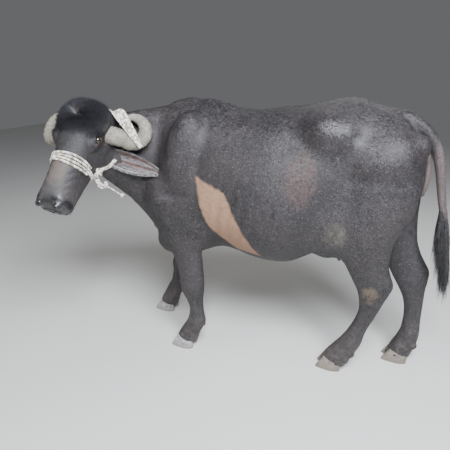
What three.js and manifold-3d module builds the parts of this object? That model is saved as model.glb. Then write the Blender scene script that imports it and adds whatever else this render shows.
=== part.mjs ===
// A water buffalo of the curl-horned river type, life size, standing still with its head turned to its left.
// Millimetres, +Z up. The animal faces -X and its left side faces -Y; its four feet stand on z = 0.
// The flesh is made as lofts through named stations, joined whole, and then parted with thin cuts.

import * as THREE from "three";
import { mergeVertices } from "three/addons/utils/BufferGeometryUtils.js";
import Module from "manifold-3d";

const wasm = await Module();
wasm.setup();

// Driving dimensions

const GAP = 0.3; // between nodes that meet
const CENTRE = { x: 136, y: 146 }; // moves the animal so that its box is centred on the origin
const V = (x, y, z) => new THREE.Vector3(x, y, z);

// Trunk: back line, belly line, half width, height of the widest point and roundness of both halves
const TRUNK = [
  { x: -640, top: 930, belly: 600, half: 70, wide: 760, round: 2, under: 2 },
  { x: -600, top: 1160, belly: 530, half: 135, wide: 820, round: 2, under: 2 },
  { x: -540, top: 1300, belly: 500, half: 185, wide: 880, round: 1.9, under: 2 },
  { x: -470, top: 1346, belly: 500, half: 222, wide: 900, round: 1.8, under: 2 },
  { x: -386, top: 1357, belly: 522, half: 245, wide: 900, round: 1.75, under: 2.1 },
  { x: -300, top: 1354, belly: 560, half: 262, wide: 890, round: 1.8, under: 2.1 },
  { x: -222, top: 1336, belly: 585, half: 280, wide: 885, round: 1.9, under: 2.1 },
  { x: -127, top: 1314, belly: 577, half: 303, wide: 885, round: 2, under: 2.1 },
  { x: -44, top: 1312, belly: 556, half: 324, wide: 885, round: 2, under: 2.1 },
  { x: 50, top: 1326, belly: 546, half: 335, wide: 890, round: 2, under: 2.1 },
  { x: 143, top: 1337, belly: 556, half: 328, wide: 900, round: 2, under: 2.1 },
  { x: 240, top: 1354, belly: 602, half: 300, wide: 920, round: 2.25, under: 2 },
  { x: 319, top: 1372, belly: 640, half: 266, wide: 960, round: 2.6, under: 2 },
  { x: 399, top: 1379, belly: 665, half: 240, wide: 1000, round: 2.7, under: 2 },
  { x: 480, top: 1354, belly: 700, half: 222, wide: 1020, round: 2.6, under: 2 },
  { x: 560, top: 1328, belly: 770, half: 196, wide: 1040, round: 2.5, under: 2 },
  { x: 640, top: 1272, belly: 850, half: 152, wide: 1050, round: 2.3, under: 2 },
  { x: 690, top: 1188, belly: 900, half: 108, wide: 1060, round: 2, under: 2 },
  { x: 722, top: 1120, belly: 955, half: 60, wide: 1070, round: 2, under: 2 },
];

// Neck: upright sections that swing from the chest to the poll; heading is degrees left of straight ahead
const NECK = [
  { x: -430, y: 0, top: 1342, throat: 540, half: 150, wide: 900, heading: 0 },
  { x: -520, y: -15, top: 1334, throat: 525, half: 150, wide: 905, heading: 15 },
  { x: -600, y: -42, top: 1318, throat: 610, half: 136, wide: 950, heading: 24 },
  { x: -680, y: -85, top: 1304, throat: 722, half: 121, wide: 1000, heading: 33 },
  { x: -750, y: -135, top: 1293, throat: 830, half: 109, wide: 1050, heading: 42 },
  { x: -810, y: -190, top: 1290, throat: 905, half: 98, wide: 1090, heading: 54 },
  { x: -850, y: -250, top: 1288, throat: 970, half: 88, wide: 1120, heading: 68 },
  { x: -870, y: -300, top: 1270, throat: 1025, half: 86, wide: 1140, heading: 78 },
];

// Head: its own frame, a from the poll to the nose, n out of the forehead, s to the animal's left
const HEAD = { x: -855, y: -330, z: 1337, yaw: 84, pitch: 50, roll: 10 };
const SKULL = [
  { a: -45, top: -50, chin: -170, half: 81, wide: -110, round: 2, under: 2 },
  { a: -25, top: -12, chin: -190, half: 110, wide: -100, round: 2.1, under: 2 },
  { a: 10, top: 14, chin: -205, half: 124, wide: -88, round: 2.1, under: 2 },
  { a: 60, top: 30, chin: -222, half: 130, wide: -80, round: 2.1, under: 2.1 },
  { a: 115, top: 32, chin: -238, half: 122, wide: -80, round: 2.1, under: 2.3 },
  { a: 165, top: 24, chin: -242, half: 108, wide: -84, round: 2.1, under: 2.5 },
  { a: 230, top: 12, chin: -232, half: 94, wide: -90, round: 2.1, under: 2.7 },
  { a: 290, top: 3, chin: -222, half: 86, wide: -92, round: 2.1, under: 2.8 },
  { a: 350, top: -3, chin: -212, half: 80, wide: -92, round: 2.2, under: 2.7 },
  { a: 410, top: -8, chin: -196, half: 78, wide: -94, round: 2.3, under: 2.6 },
  { a: 460, top: -13, chin: -180, half: 83, wide: -96, round: 2.4, under: 2.5 },
  { a: 490, top: -24, chin: -172, half: 88, wide: -98, round: 2.5, under: 2.4 },
  { a: 511, top: -42, chin: -160, half: 81, wide: -98, round: 2.4, under: 2.3 },
  { a: 525, top: -68, chin: -136, half: 58, wide: -100, round: 2.1, under: 2.1 },
];
const SKULL_SIDES = 20;
const ORBIT = { a: 156, n: -48, s: 92, long: 50, high: 40, deep: 34 };
const EYE = { a: 150, n: -45, s: 112, radius: 23 };
const LOOK = V(0.1, 0.5, 0.86); // the way that an eye looks, in the head's frame
const LID = { steps: 6, open: 15, rise: 13, half: 4, swell: 3 };
const MASSETER = { a: 140, n: -160, s: 74, long: 95, high: 72, deep: 36 };
const NOSTRIL = { a: 509, n: -60, s: 46, long: 22, high: 12, deep: 14 };
const LIP_LINE = { a: 395, n: -118, long: 190, drop: 4, thick: 3 };

// Legs: height of each station, front and rear edge, middle and half width
const FORELEG_LEFT = [
  { z: 860, front: -610, rear: -250, mid: -158, half: 84 },
  { z: 760, front: -580, rear: -275, mid: -172, half: 80 },
  { z: 680, front: -541, rear: -300, mid: -178, half: 74 },
  { z: 600, front: -501, rear: -321, mid: -178, half: 66 },
  { z: 540, front: -471, rear: -315, mid: -176, half: 59 },
  { z: 485, front: -456, rear: -311, mid: -175, half: 54 },
  { z: 430, front: -446, rear: -308, mid: -174, half: 55 },
  { z: 385, front: -440, rear: -308, mid: -174, half: 60 },
  { z: 340, front: -432, rear: -310, mid: -174, half: 52 },
  { z: 300, front: -412, rear: -313, mid: -175, half: 40 },
  { z: 249, front: -394, rear: -311, mid: -176, half: 34 },
  { z: 210, front: -396, rear: -306, mid: -176, half: 37 },
  { z: 165, front: -410, rear: -300, mid: -176, half: 46 },
  { z: 125, front: -434, rear: -318, mid: -176, half: 43 },
  { z: 90, front: -456, rear: -334, mid: -176, half: 50 },
  { z: 40, front: -478, rear: -350, mid: -176, half: 56 },
];
const HINDLEG_LEFT = [
  { z: 1000, front: 330, rear: 690, mid: -140, half: 96 },
  { z: 900, front: 325, rear: 690, mid: -155, half: 98 },
  { z: 820, front: 325, rear: 655, mid: -160, half: 94 },
  { z: 740, front: 345, rear: 628, mid: -160, half: 86 },
  { z: 680, front: 378, rear: 621, mid: -156, half: 77 },
  { z: 622, front: 416, rear: 622, mid: -150, half: 66 },
  { z: 573, front: 442, rear: 638, mid: -146, half: 56 },
  { z: 533, front: 462, rear: 651, mid: -142, half: 51 },
  { z: 483, front: 487, rear: 638, mid: -138, half: 50 },
  { z: 431, front: 500, rear: 617, mid: -134, half: 46 },
  { z: 376, front: 502, rear: 597, mid: -130, half: 40 },
  { z: 329, front: 492, rear: 580, mid: -126, half: 38 },
  { z: 279, front: 473, rear: 560, mid: -122, half: 37 },
  { z: 234, front: 452, rear: 547, mid: -118, half: 39 },
  { z: 180, front: 421, rear: 537, mid: -112, half: 47 },
  { z: 143, front: 394, rear: 525, mid: -108, half: 46 },
  { z: 95, front: 360, rear: 500, mid: -104, half: 52 },
  { z: 40, front: 330, rear: 480, mid: -100, half: 58 },
];
const FORELEG_RIGHT = [
  { z: 860, front: -625, rear: -270, mid: 158, half: 84 },
  { z: 760, front: -618, rear: -318, mid: 170, half: 80 },
  { z: 680, front: -606, rear: -368, mid: 174, half: 74 },
  { z: 600, front: -598, rear: -420, mid: 172, half: 66 },
  { z: 540, front: -602, rear: -448, mid: 170, half: 59 },
  { z: 485, front: -618, rear: -474, mid: 168, half: 54 },
  { z: 430, front: -636, rear: -500, mid: 167, half: 55 },
  { z: 385, front: -650, rear: -520, mid: 166, half: 60 },
  { z: 340, front: -660, rear: -540, mid: 166, half: 52 },
  { z: 300, front: -657, rear: -560, mid: 166, half: 40 },
  { z: 249, front: -664, rear: -582, mid: 166, half: 34 },
  { z: 210, front: -676, rear: -588, mid: 166, half: 37 },
  { z: 165, front: -702, rear: -596, mid: 166, half: 46 },
  { z: 125, front: -724, rear: -612, mid: 166, half: 43 },
  { z: 90, front: -742, rear: -624, mid: 166, half: 50 },
  { z: 40, front: -762, rear: -640, mid: 166, half: 56 },
];
const HINDLEG_RIGHT = [
  { z: 1000, front: 380, rear: 712, mid: 140, half: 96 },
  { z: 900, front: 400, rear: 735, mid: 152, half: 98 },
  { z: 820, front: 420, rear: 735, mid: 150, half: 94 },
  { z: 740, front: 455, rear: 740, mid: 142, half: 86 },
  { z: 680, front: 500, rear: 748, mid: 132, half: 77 },
  { z: 622, front: 548, rear: 768, mid: 122, half: 66 },
  { z: 573, front: 588, rear: 796, mid: 112, half: 56 },
  { z: 533, front: 618, rear: 820, mid: 105, half: 51 },
  { z: 483, front: 648, rear: 822, mid: 99, half: 50 },
  { z: 431, front: 680, rear: 816, mid: 95, half: 46 },
  { z: 376, front: 708, rear: 815, mid: 92, half: 40 },
  { z: 329, front: 720, rear: 815, mid: 91, half: 38 },
  { z: 279, front: 725, rear: 815, mid: 90, half: 37 },
  { z: 234, front: 724, rear: 816, mid: 90, half: 39 },
  { z: 180, front: 718, rear: 819, mid: 89, half: 47 },
  { z: 143, front: 704, rear: 817, mid: 88, half: 46 },
  { z: 95, front: 682, rear: 806, mid: 88, half: 52 },
  { z: 40, front: 660, rear: 790, mid: 88, half: 58 },
];

// Feet: toe and heel at the floor, and the slope that the hair ends at above the hooves
const HOOF = { length: 132, half: 27, apart: 31, toeHigh: 82, heelHigh: 46 };
const FEET = {
  fore_left: { toe: -500, mid: -176 },
  fore_right: { toe: -786, mid: 166 },
  hind_left: { toe: 312, mid: -100 },
  hind_right: { toe: 640, mid: 88 },
};

// Masses that stand out from the lofts: centre, radii along x, y and z, and a tilt about y in degrees
const PAIRED_MASSES = [
  { name: "hook", at: V(312, 204, 1256), radii: V(88, 62, 54), tilt: 10 },
  { name: "pin", at: V(672, 94, 1178), radii: V(70, 48, 62), tilt: -30 },
  { name: "thurl", at: V(530, 176, 1135), radii: V(95, 76, 95), tilt: 20 },
  { name: "haunch", at: V(540, 142, 1000), radii: V(158, 96, 215), tilt: 8 },
  { name: "shoulder blade", at: V(-420, 158, 1110), radii: V(95, 92, 205), tilt: 18 },
  { name: "point of the shoulder", at: V(-548, 142, 880), radii: V(84, 92, 120), tilt: 0 },
  { name: "elbow", at: V(-350, 190, 745), radii: V(62, 54, 85), tilt: -12 },
  { name: "flank", at: V(330, 190, 800), radii: V(110, 62, 150), tilt: 0 },
];
const MIDDLE_MASSES = [
  { name: "brisket", at: V(-572, 0, 560), radii: V(84, 78, 62), tilt: 0 },
  { name: "udder", at: V(415, 0, 665), radii: V(105, 78, 58), tilt: -12 },
  { name: "vulva", at: V(712, 0, 995), radii: V(36, 32, 78), tilt: 0 },
];
const TEATS = { x: 415, ahead: 34, side: 34, top: 640, length: 62, radius: 12 };

// Tail: middle line from the croup to the end of the bone, with half widths, and the locks of its switch
const TAIL = [
  { at: V(560, 0, 1300), half: 34 },
  { at: V(628, 0, 1290), half: 40 },
  { at: V(690, 0, 1250), half: 37 },
  { at: V(734, 0, 1205), half: 31 },
  { at: V(768, 0, 1145), half: 27 },
  { at: V(788, 0, 1070), half: 24 },
  { at: V(801, 0, 990), half: 21 },
  { at: V(818, 0, 905), half: 19 },
  { at: V(842, 0, 820), half: 17 },
  { at: V(862, 0, 735), half: 14 },
  { at: V(872, 0, 655), half: 9 },
];
const SWITCH = { locks: 18, from: 0.74, length: 230, half: 17, thick: 5, spread: 22, lowest: 400 };

// Horns, in the head's frame: a thick base that leaves the side of the poll and one flat curl
const HORN = {
  base: V(84, -92, 90),
  out: V(-0.28, -0.36, 0.89),
  up: V(-0.91, 0.35, -0.21),
  centre: { out: 146, up: 31 },
  droop: { left: 0, right: 20 }, // degrees that each horn is turned down at its base
  radius: 64,
  start: -128,
  end: 178,
  half: [46, 43, 40, 38, 36, 33, 28, 21, 14, 9, 4],
  rise: 26,
  steps: 17,
  sides: 10,
  flat: 0.8,
};

// Ears, in the head's frame: root, the way the blade points and the way its lower edge lies
const EAR = {
  root: V(146, -196, 88),
  along: { left: V(14, -66, 246), right: V(-34, -200, 142) },
  low: V(0.8, -0.6, 0.05),
  half: 48,
  length: 275,
  cup: 26,
  thick: 7,
};

// Halter, in the head's frame: a band of strands round the nose, a rope up each cheek and one over the poll
const NOSEBAND = { top: 262, slope: -0.16, wide: 52, thick: 11 };
const ROPE = { half: 11, sides: 8 };
const CHEEK_ROPE = [V(262, -190, 80), V(222, -208, 92), V(184, -222, 98), V(148, -230, 100)];
// The headpiece: over the near horn, in steps out along it, up and off its face, then behind the poll
const OVER_HORN = [
  { out: 184, up: -54, off: 42, half: 7 },
  { out: 146, up: 2, off: 38, half: 13 },
  { out: 106, up: 60, off: 32, half: 22 },
  { out: 68, up: 118, off: 12, half: 30 },
];
const BEHIND_POLL = [
  V(-40, -92, 104),
  V(-50, -92, 60),
  V(-50, -92, -40),
  V(-40, -104, -96),
  V(20, -150, -132),
];
const HEADPIECE = { half: 20, flat: 0.4 };
const TIE = [V(272, -196, 70), V(300, -226, 66), V(326, -244, 58), V(322, -262, 40)];
const KNOT = { a: 262, n: -190, s: 80, long: 24, high: 26, deep: 17 };

// Helpers

const lerp = (a, b, t) => a + (b - a) * t;
const radians = THREE.MathUtils.degToRad;

// One quantity of a table of stations, followed smoothly between the stations
function follow(table, knot, key, t) {
  const last = table.length - 1;
  let i = 0;
  while (i < last - 1 && (table[i + 1][knot] - t) * Math.sign(table[last][knot] - table[0][knot]) < 0) i += 1;
  const slope = (j) => {
    const before = table[Math.max(j - 1, 0)];
    const after = table[Math.min(j + 1, last)];
    return (after[key] - before[key]) / (after[knot] - before[knot]);
  };
  const span = table[i + 1][knot] - table[i][knot];
  const u = (t - table[i][knot]) / span;
  const start = table[i][key];
  const end = table[i + 1][key];
  const leave = slope(i) * span;
  const arrive = slope(i + 1) * span;
  const square = u * u;
  const cube = square * u;
  return (
    (2 * cube - 3 * square + 1) * start +
    (cube - 2 * square + u) * leave +
    (3 * square - 2 * cube) * end +
    (cube - square) * arrive
  );
}

// Places along a table: its stations and the midpoints between them
function places(table, knot, perSpan) {
  const list = [];
  for (let i = 0; i < table.length - 1; i += 1) {
    for (let k = 0; k < perSpan; k += 1) list.push(lerp(table[i][knot], table[i + 1][knot], k / perSpan));
  }
  list.push(table[table.length - 1][knot]);
  return list;
}

// A closed outline whose upper and lower halves have their own height and roundness
function outline(sides, half, up, down, round, under) {
  const points = [];
  for (let i = 0; i < sides; i += 1) {
    const angle = ((i + 0.5) / sides) * 2 * Math.PI;
    const c = Math.cos(angle);
    const s = Math.sin(angle);
    const power = 2 / (s > 0 ? round : under);
    points.push([
      half * Math.sign(c) * Math.abs(c) ** power,
      (s > 0 ? up : down) * Math.sign(s) * Math.abs(s) ** power,
    ]);
  }
  return points;
}

// A closed skin over rings of points, with a fan on each end
function skin(rings) {
  const sides = rings[0].length;
  const points = rings.flat();
  const faces = [];
  for (let r = 0; r < rings.length - 1; r += 1) {
    for (let i = 0; i < sides; i += 1) {
      const j = (i + 1) % sides;
      const a = r * sides + i;
      const b = r * sides + j;
      faces.push(a, b, b + sides, a, b + sides, a + sides);
    }
  }
  const ends = [rings[0], rings[rings.length - 1]];
  ends.forEach((ring, side) => {
    const middle = ring.reduce((sum, p) => sum.add(p), V(0, 0, 0)).divideScalar(sides);
    points.push(middle);
    const start = side * (rings.length - 1) * sides;
    for (let i = 0; i < sides; i += 1) {
      const j = (i + 1) % sides;
      if (side) faces.push(start + i, start + j, points.length - 1);
      else faces.push(start + j, start + i, points.length - 1);
    }
  });
  const geometry = new THREE.BufferGeometry().setFromPoints(points);
  geometry.setIndex(faces);
  return geometry;
}

function signedVolume(position, index) {
  const a = V(0, 0, 0);
  const b = V(0, 0, 0);
  const c = V(0, 0, 0);
  let sum = 0;
  for (let i = 0; i < index.count; i += 3) {
    a.fromBufferAttribute(position, index.getX(i));
    b.fromBufferAttribute(position, index.getX(i + 1));
    c.fromBufferAttribute(position, index.getX(i + 2));
    sum += a.dot(b.cross(c)) / 6;
  }
  return sum;
}

// A geometry as a solid; a mirrored geometry is turned the right way out
function solid(geometry) {
  const bare = geometry.clone();
  bare.deleteAttribute("normal");
  bare.deleteAttribute("uv");
  const merged = mergeVertices(bare, 1e-3);
  const vertProperties = new Float32Array(merged.attributes.position.array);
  const triVerts = new Uint32Array(merged.index.array);
  if (signedVolume(merged.attributes.position, merged.index) < 0) triVerts.reverse();
  return new wasm.Manifold(new wasm.Mesh({ numProp: 3, vertProperties, triVerts }));
}

function join(solids) {
  return solids.reduce((sum, next) => sum.add(next));
}

// The largest closed surface of a solid, which also fills what a join has sealed inside it
function largest(body) {
  const pieces = body.decompose();
  return pieces.reduce((best, next) => (next.volume() > best.volume() ? next : best));
}

function geometryOf(body) {
  const mesh = body.getMesh();
  const position = new Float32Array(mesh.numVert * 3);
  for (let i = 0; i < mesh.numVert; i += 1) {
    for (let k = 0; k < 3; k += 1) position[3 * i + k] = mesh.vertProperties[mesh.numProp * i + k];
  }
  const geometry = new THREE.BufferGeometry();
  geometry.setAttribute("position", new THREE.BufferAttribute(position, 3));
  geometry.setIndex(new THREE.BufferAttribute(new Uint32Array(mesh.triVerts), 1));
  geometry.computeVertexNormals();
  return geometry;
}

function ellipsoid(at, radii, tilt = 0, segments = 10) {
  const geometry = new THREE.SphereGeometry(1, segments, Math.round(segments * 0.6));
  geometry.scale(radii.x, radii.y, radii.z);
  geometry.rotateY(radians(tilt));
  geometry.translate(at.x, at.y, at.z);
  return solid(geometry);
}

// A box from its lowest and highest corners
function box(low, high) {
  const geometry = new THREE.BoxGeometry(high.x - low.x, high.y - low.y, high.z - low.z);
  geometry.translate((low.x + high.x) / 2, (low.y + high.y) / 2, (low.z + high.z) / 2);
  return solid(geometry);
}

// The half of a body that lies beyond a plane, held half a gap away from it
function beyond(body, normal, point) {
  const n = normal.clone().normalize();
  return body.trimByPlane(n.toArray(), n.dot(point) + GAP / 2);
}

function behind(body, normal, point) {
  return beyond(body, normal.clone().negate(), point);
}

// A round or oval tube through points, its sections kept upright against one direction
function tube(points, halves, sides, flat = 1, upright = V(0, 0, 1)) {
  const curve = new THREE.CatmullRomCurve3(points);
  const rings = points.map((point, i) => {
    const along = curve.getTangent(i / (points.length - 1)).normalize();
    const across = along.clone().cross(upright).normalize();
    const out = across.clone().cross(along).normalize();
    return outline(sides, halves[i], halves[i] * flat, halves[i] * flat, 2, 2).map(([s, h]) =>
      point.clone().addScaledVector(across, s).addScaledVector(out, h),
    );
  });
  return skin(rings);
}

// Trunk and neck

function trunk(proud = 0) {
  const rings = places(TRUNK, "x", 1).map((x) => {
    const q = (key) => follow(TRUNK, "x", key, x);
    const wide = q("wide");
    const up = q("top") - wide + proud;
    const down = wide - q("belly") + proud;
    return outline(24, q("half") + proud, up, down, q("round"), q("under")).map(([s, h]) =>
      V(x, -s, wide + h),
    );
  });
  return solid(skin(rings));
}

function neck() {
  const rings = NECK.map((station) => {
    const { x, y, top, throat, half, wide } = station;
    const left = V(Math.sin(radians(station.heading)), -Math.cos(radians(station.heading)), 0);
    return outline(20, half, top - wide, wide - throat, 1.8, 1.9).map(([s, h]) =>
      V(x, y, wide + h).addScaledVector(left, s),
    );
  });
  return solid(skin(rings));
}

function masses() {
  const list = MIDDLE_MASSES.map((m) => ellipsoid(m.at, m.radii, m.tilt));
  PAIRED_MASSES.forEach((m) => {
    [-1, 1].forEach((side) => list.push(ellipsoid(V(m.at.x, side * m.at.y, m.at.z), m.radii, m.tilt)));
  });
  return list;
}

function teats() {
  const list = [];
  [-1, 1].forEach((fore) => {
    [-1, 1].forEach((side) => {
      const cone = new THREE.CylinderGeometry(TEATS.radius * 1.3, TEATS.radius * 0.7, TEATS.length, 8);
      cone.rotateX(Math.PI / 2);
      cone.translate(TEATS.x + fore * TEATS.ahead, side * TEATS.side, TEATS.top - TEATS.length / 2);
      list.push(solid(cone));
    });
  });
  return list;
}

// Legs and feet

function leg(stations) {
  const rings = stations.map(({ z, front, rear, mid, half }) => {
    const deep = (rear - front) / 2;
    return outline(14, half, deep, deep, 2.2, 2).map(([s, h]) => V((front + rear) / 2 - h, mid - s, z));
  });
  return solid(skin(rings));
}

// The slope at which a foot's hair ends and its horn begins
function coronet(foot) {
  const run = HOOF.length;
  return {
    normal: V(HOOF.toeHigh - HOOF.heelHigh, 0, run).normalize(),
    point: V(foot.toe, foot.mid, HOOF.toeHigh),
  };
}

function claw(foot, side) {
  const levels = [0, 14, 40, 70, 100];
  const rings = levels.map((z) => {
    const back = z * 0.62;
    const heel = foot.toe + HOOF.length - z * 0.06;
    const front = foot.toe + back;
    const middle = (front + heel) / 2;
    const deep = (heel - front) / 2;
    const plump = HOOF.half * (1 - 0.0006 * z) * (z === 0 ? 0.96 : 1);
    const list = [];
    for (let i = 0; i < 14; i += 1) {
      const angle = ((i + 0.5) / 14) * 2 * Math.PI;
      const forward = Math.cos(angle);
      const width = plump * Math.abs(Math.sin(angle)) ** 0.8 * (forward < 0 ? 0.9 + 0.28 * forward : 1);
      const inner = Math.sign(Math.sin(angle)) !== side ? 0.86 : 1;
      list.push(
        V(
          middle + deep * Math.sign(forward) * Math.abs(forward) ** 0.85,
          foot.mid + side * HOOF.apart + Math.sign(Math.sin(angle)) * width * inner,
          z,
        ),
      );
    }
    return list;
  });
  return solid(skin(rings));
}

function dewclaws(stations) {
  const low = stations.find((station) => station.z < 130);
  return [-1, 1].map((side) => {
    const at = V(low.rear - 2, low.mid + side * 25, low.z + 4);
    return ellipsoid(at, V(17, 13, 22), 35, 10);
  });
}

// Head

const headAxes = (() => {
  const yaw = radians(HEAD.yaw);
  const pitch = radians(HEAD.pitch);
  const roll = radians(HEAD.roll);
  const ahead = V(-Math.cos(yaw), -Math.sin(yaw), 0);
  const up = V(0, 0, 1);
  const a = ahead.clone().multiplyScalar(Math.cos(pitch)).addScaledVector(up, -Math.sin(pitch));
  const n = ahead.clone().multiplyScalar(Math.sin(pitch)).addScaledVector(up, Math.cos(pitch));
  const s = up.clone().cross(ahead);
  return {
    a,
    n: n.clone().multiplyScalar(Math.cos(roll)).addScaledVector(s, Math.sin(roll)),
    s: s.clone().multiplyScalar(Math.cos(roll)).addScaledVector(n, -Math.sin(roll)),
  };
})();
const headMatrix = new THREE.Matrix4()
  .makeBasis(headAxes.a, headAxes.n, headAxes.s)
  .setPosition(HEAD.x, HEAD.y, HEAD.z);
const onHead = (point) => point.clone().applyMatrix4(headMatrix);
const headWay = (direction) => direction.clone().transformDirection(headMatrix);
const headSolid = (geometry) => solid(geometry.clone().applyMatrix4(headMatrix));
const sided = (point, side) => V(point.x, point.y, point.z * side);

function skullSection(a, proud, sides) {
  const q = (key) => follow(SKULL, "a", key, a);
  const wide = q("wide");
  return outline(
    sides,
    q("half") + proud,
    q("top") - wide + proud,
    wide - q("chin") + proud,
    q("round"),
    q("under"),
  ).map(([s, h]) => V(a, wide + h, s));
}

function headEllipsoid({ a, n, s, long, high, deep }, side, proud = 0) {
  const geometry = new THREE.SphereGeometry(1, 12, 7);
  geometry.scale(long + proud, high + proud, deep + proud);
  geometry.translate(a, n, s * side);
  return headSolid(geometry);
}

function eyeball(side, grow) {
  const geometry = new THREE.SphereGeometry(EYE.radius + grow, 12, 8);
  geometry.translate(EYE.a, EYE.n, EYE.s * side);
  return headSolid(geometry);
}

// Lids: a half ring over the eye and one under it, thick enough to stand out
function lid(side, upper) {
  const look = LOOK.clone().normalize();
  const along = V(1, 0, 0).addScaledVector(look, -look.x).normalize();
  const over = look.clone().cross(along).multiplyScalar(-1);
  const points = [];
  for (let i = 0; i <= LID.steps; i += 1) {
    const angle = lerp(-0.52, 0.52, i / LID.steps) * Math.PI;
    const lift = (upper ? 1 : -1) * Math.cos(angle) * LID.open;
    const point = V(EYE.a, EYE.n, EYE.s)
      .addScaledVector(along, Math.sin(angle) * EYE.radius * 1.06)
      .addScaledVector(over, lift)
      .addScaledVector(look, LID.rise - Math.abs(lift) * 0.2);
    points.push(sided(point, side));
  }
  const halves = points.map((p, i) => LID.half + LID.swell * Math.sin((i / LID.steps) * Math.PI));
  return headSolid(tube(points, halves, 6, 1, sided(look, side)));
}

function nostril(side) {
  const geometry = new THREE.SphereGeometry(1, 12, 8);
  geometry.scale(NOSTRIL.long, NOSTRIL.high, NOSTRIL.deep);
  geometry.rotateY(radians(-35 * side));
  geometry.rotateZ(radians(-30));
  geometry.translate(NOSTRIL.a, NOSTRIL.n, NOSTRIL.s * side);
  return headSolid(geometry);
}

function lipLine() {
  const geometry = new THREE.BoxGeometry(LIP_LINE.long, LIP_LINE.thick, 220, 6, 1, 1);
  const position = geometry.attributes.position;
  for (let i = 0; i < position.count; i += 1) {
    const u = position.getX(i) / LIP_LINE.long + 0.5;
    position.setY(i, position.getY(i) + LIP_LINE.n + 12 * (1 - u) ** 2 - LIP_LINE.drop * u);
    position.setX(i, position.getX(i) + LIP_LINE.a + LIP_LINE.long / 2);
  }
  return headSolid(geometry);
}

function skull(proud = 0) {
  const rings = places(SKULL, "a", 1).map((a) => skullSection(a, proud, SKULL_SIDES));
  const parts = [headSolid(skin(rings))];
  [-1, 1].forEach((side) => {
    parts.push(headEllipsoid(ORBIT, side, proud), headEllipsoid(MASSETER, side, proud));
    if (!proud) parts.push(lid(side, true), lid(side, false));
  });
  return join(parts);
}

function hornPoint(t, side) {
  const angle = radians(lerp(HORN.start, HORN.end, t));
  const along = HORN.centre.out + HORN.radius * Math.cos(angle);
  const lift = HORN.centre.up + HORN.radius * Math.sin(angle);
  const droop = radians(side > 0 ? HORN.droop.left : HORN.droop.right);
  const point = HORN.base
    .clone()
    .addScaledVector(HORN.out, along * Math.cos(droop) + lift * Math.sin(droop))
    .addScaledVector(HORN.up, lift * Math.cos(droop) - along * Math.sin(droop));
  const face = HORN.up.clone().cross(HORN.out).normalize();
  point.addScaledVector(face, -HORN.rise * t * t);
  return sided(point, side);
}

function horn(side, proud = 0) {
  const points = [sided(HORN.base, side)];
  for (let i = 0; i <= HORN.steps; i += 1) points.push(hornPoint(i / HORN.steps, side));
  const halves = points.map((p, i) => {
    const u = (i / (points.length - 1)) * (HORN.half.length - 1);
    const k = Math.min(Math.floor(u), HORN.half.length - 2);
    return lerp(HORN.half[k], HORN.half[k + 1], u - k) + proud;
  });
  const face = sided(HORN.up.clone().cross(HORN.out), side);
  return headSolid(tube(points, halves, HORN.sides, HORN.flat, face));
}

// The way that an ear points, before it is mirrored
const earWay = (side) => (side > 0 ? EAR.along.left : EAR.along.right).clone().normalize();

// Ear: crescent sections from the root to the tip
function ear(side) {
  const along = earWay(side);
  const low = EAR.low.clone().addScaledVector(along, -EAR.low.dot(along)).normalize();
  const open = low.clone().cross(along).normalize();
  if (open.y < 0) open.negate();
  const steps = 11;
  const rings = [];
  for (let i = 0; i <= steps; i += 1) {
    const t = i / steps;
    const half = EAR.half * Math.sin(Math.PI * (0.17 + 0.81 * t ** 0.85)) ** 0.75 * (t > 0.97 ? 0.45 : 1);
    const cup = EAR.cup * (1 - 0.75 * t);
    const thick = EAR.thick * (1.5 - t);
    const middle = EAR.root
      .clone()
      .addScaledVector(along, EAR.length * t)
      .addScaledVector(open, -14 * t * t);
    const ring = [];
    const count = 6;
    const place = (u, inside) => {
      const depth = cup * (u * u - 0.5) - (inside ? 0 : thick * (1 - 0.7 * u * u));
      return sided(
        middle
          .clone()
          .addScaledVector(low, half * u)
          .addScaledVector(open, depth),
        side,
      );
    };
    for (let k = 0; k <= count; k += 1) ring.push(place(lerp(-1, 1, k / count), true));
    for (let k = 0; k <= count; k += 1) ring.push(place(lerp(1, -1, k / count), false));
    rings.push(ring);
  }
  return headSolid(skin(rings));
}

// Tail

function tailSolid() {
  return solid(
    tube(
      TAIL.map((station) => station.at),
      TAIL.map((station) => station.half),
      10,
      1,
      V(0, 1, 0),
    ),
  );
}

// A seeded generator, so that the locks fall the same way each time
function seeded(seed) {
  let state = seed;
  return () => {
    state = (state * 1664525 + 1013904223) % 4294967296;
    return state / 4294967296;
  };
}

// A flat tapered lock that leaves its root along one way and bends over to another
function lock(root, leave, arrive, length, half, thick, turn) {
  const steps = 4;
  const rings = [];
  const point = root.clone();
  const across = V(Math.cos(turn), Math.sin(turn), 0);
  for (let i = 0; i <= steps; i += 1) {
    const t = i / steps;
    const way = leave.clone().lerp(arrive, t).normalize();
    const side = across.clone().addScaledVector(way, -across.dot(way)).normalize();
    const out = way.clone().cross(side);
    const wide = half * Math.max(Math.sin(Math.PI * (0.2 + 0.78 * t)), 0.12);
    const deep = thick * (1 - 0.8 * t);
    rings.push([
      point.clone().addScaledVector(side, wide),
      point.clone().addScaledVector(out, deep),
      point.clone().addScaledVector(side, -wide),
      point.clone().addScaledVector(out, -deep),
    ]);
    point.addScaledVector(way, length / steps);
  }
  return solid(skin(rings));
}

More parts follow.
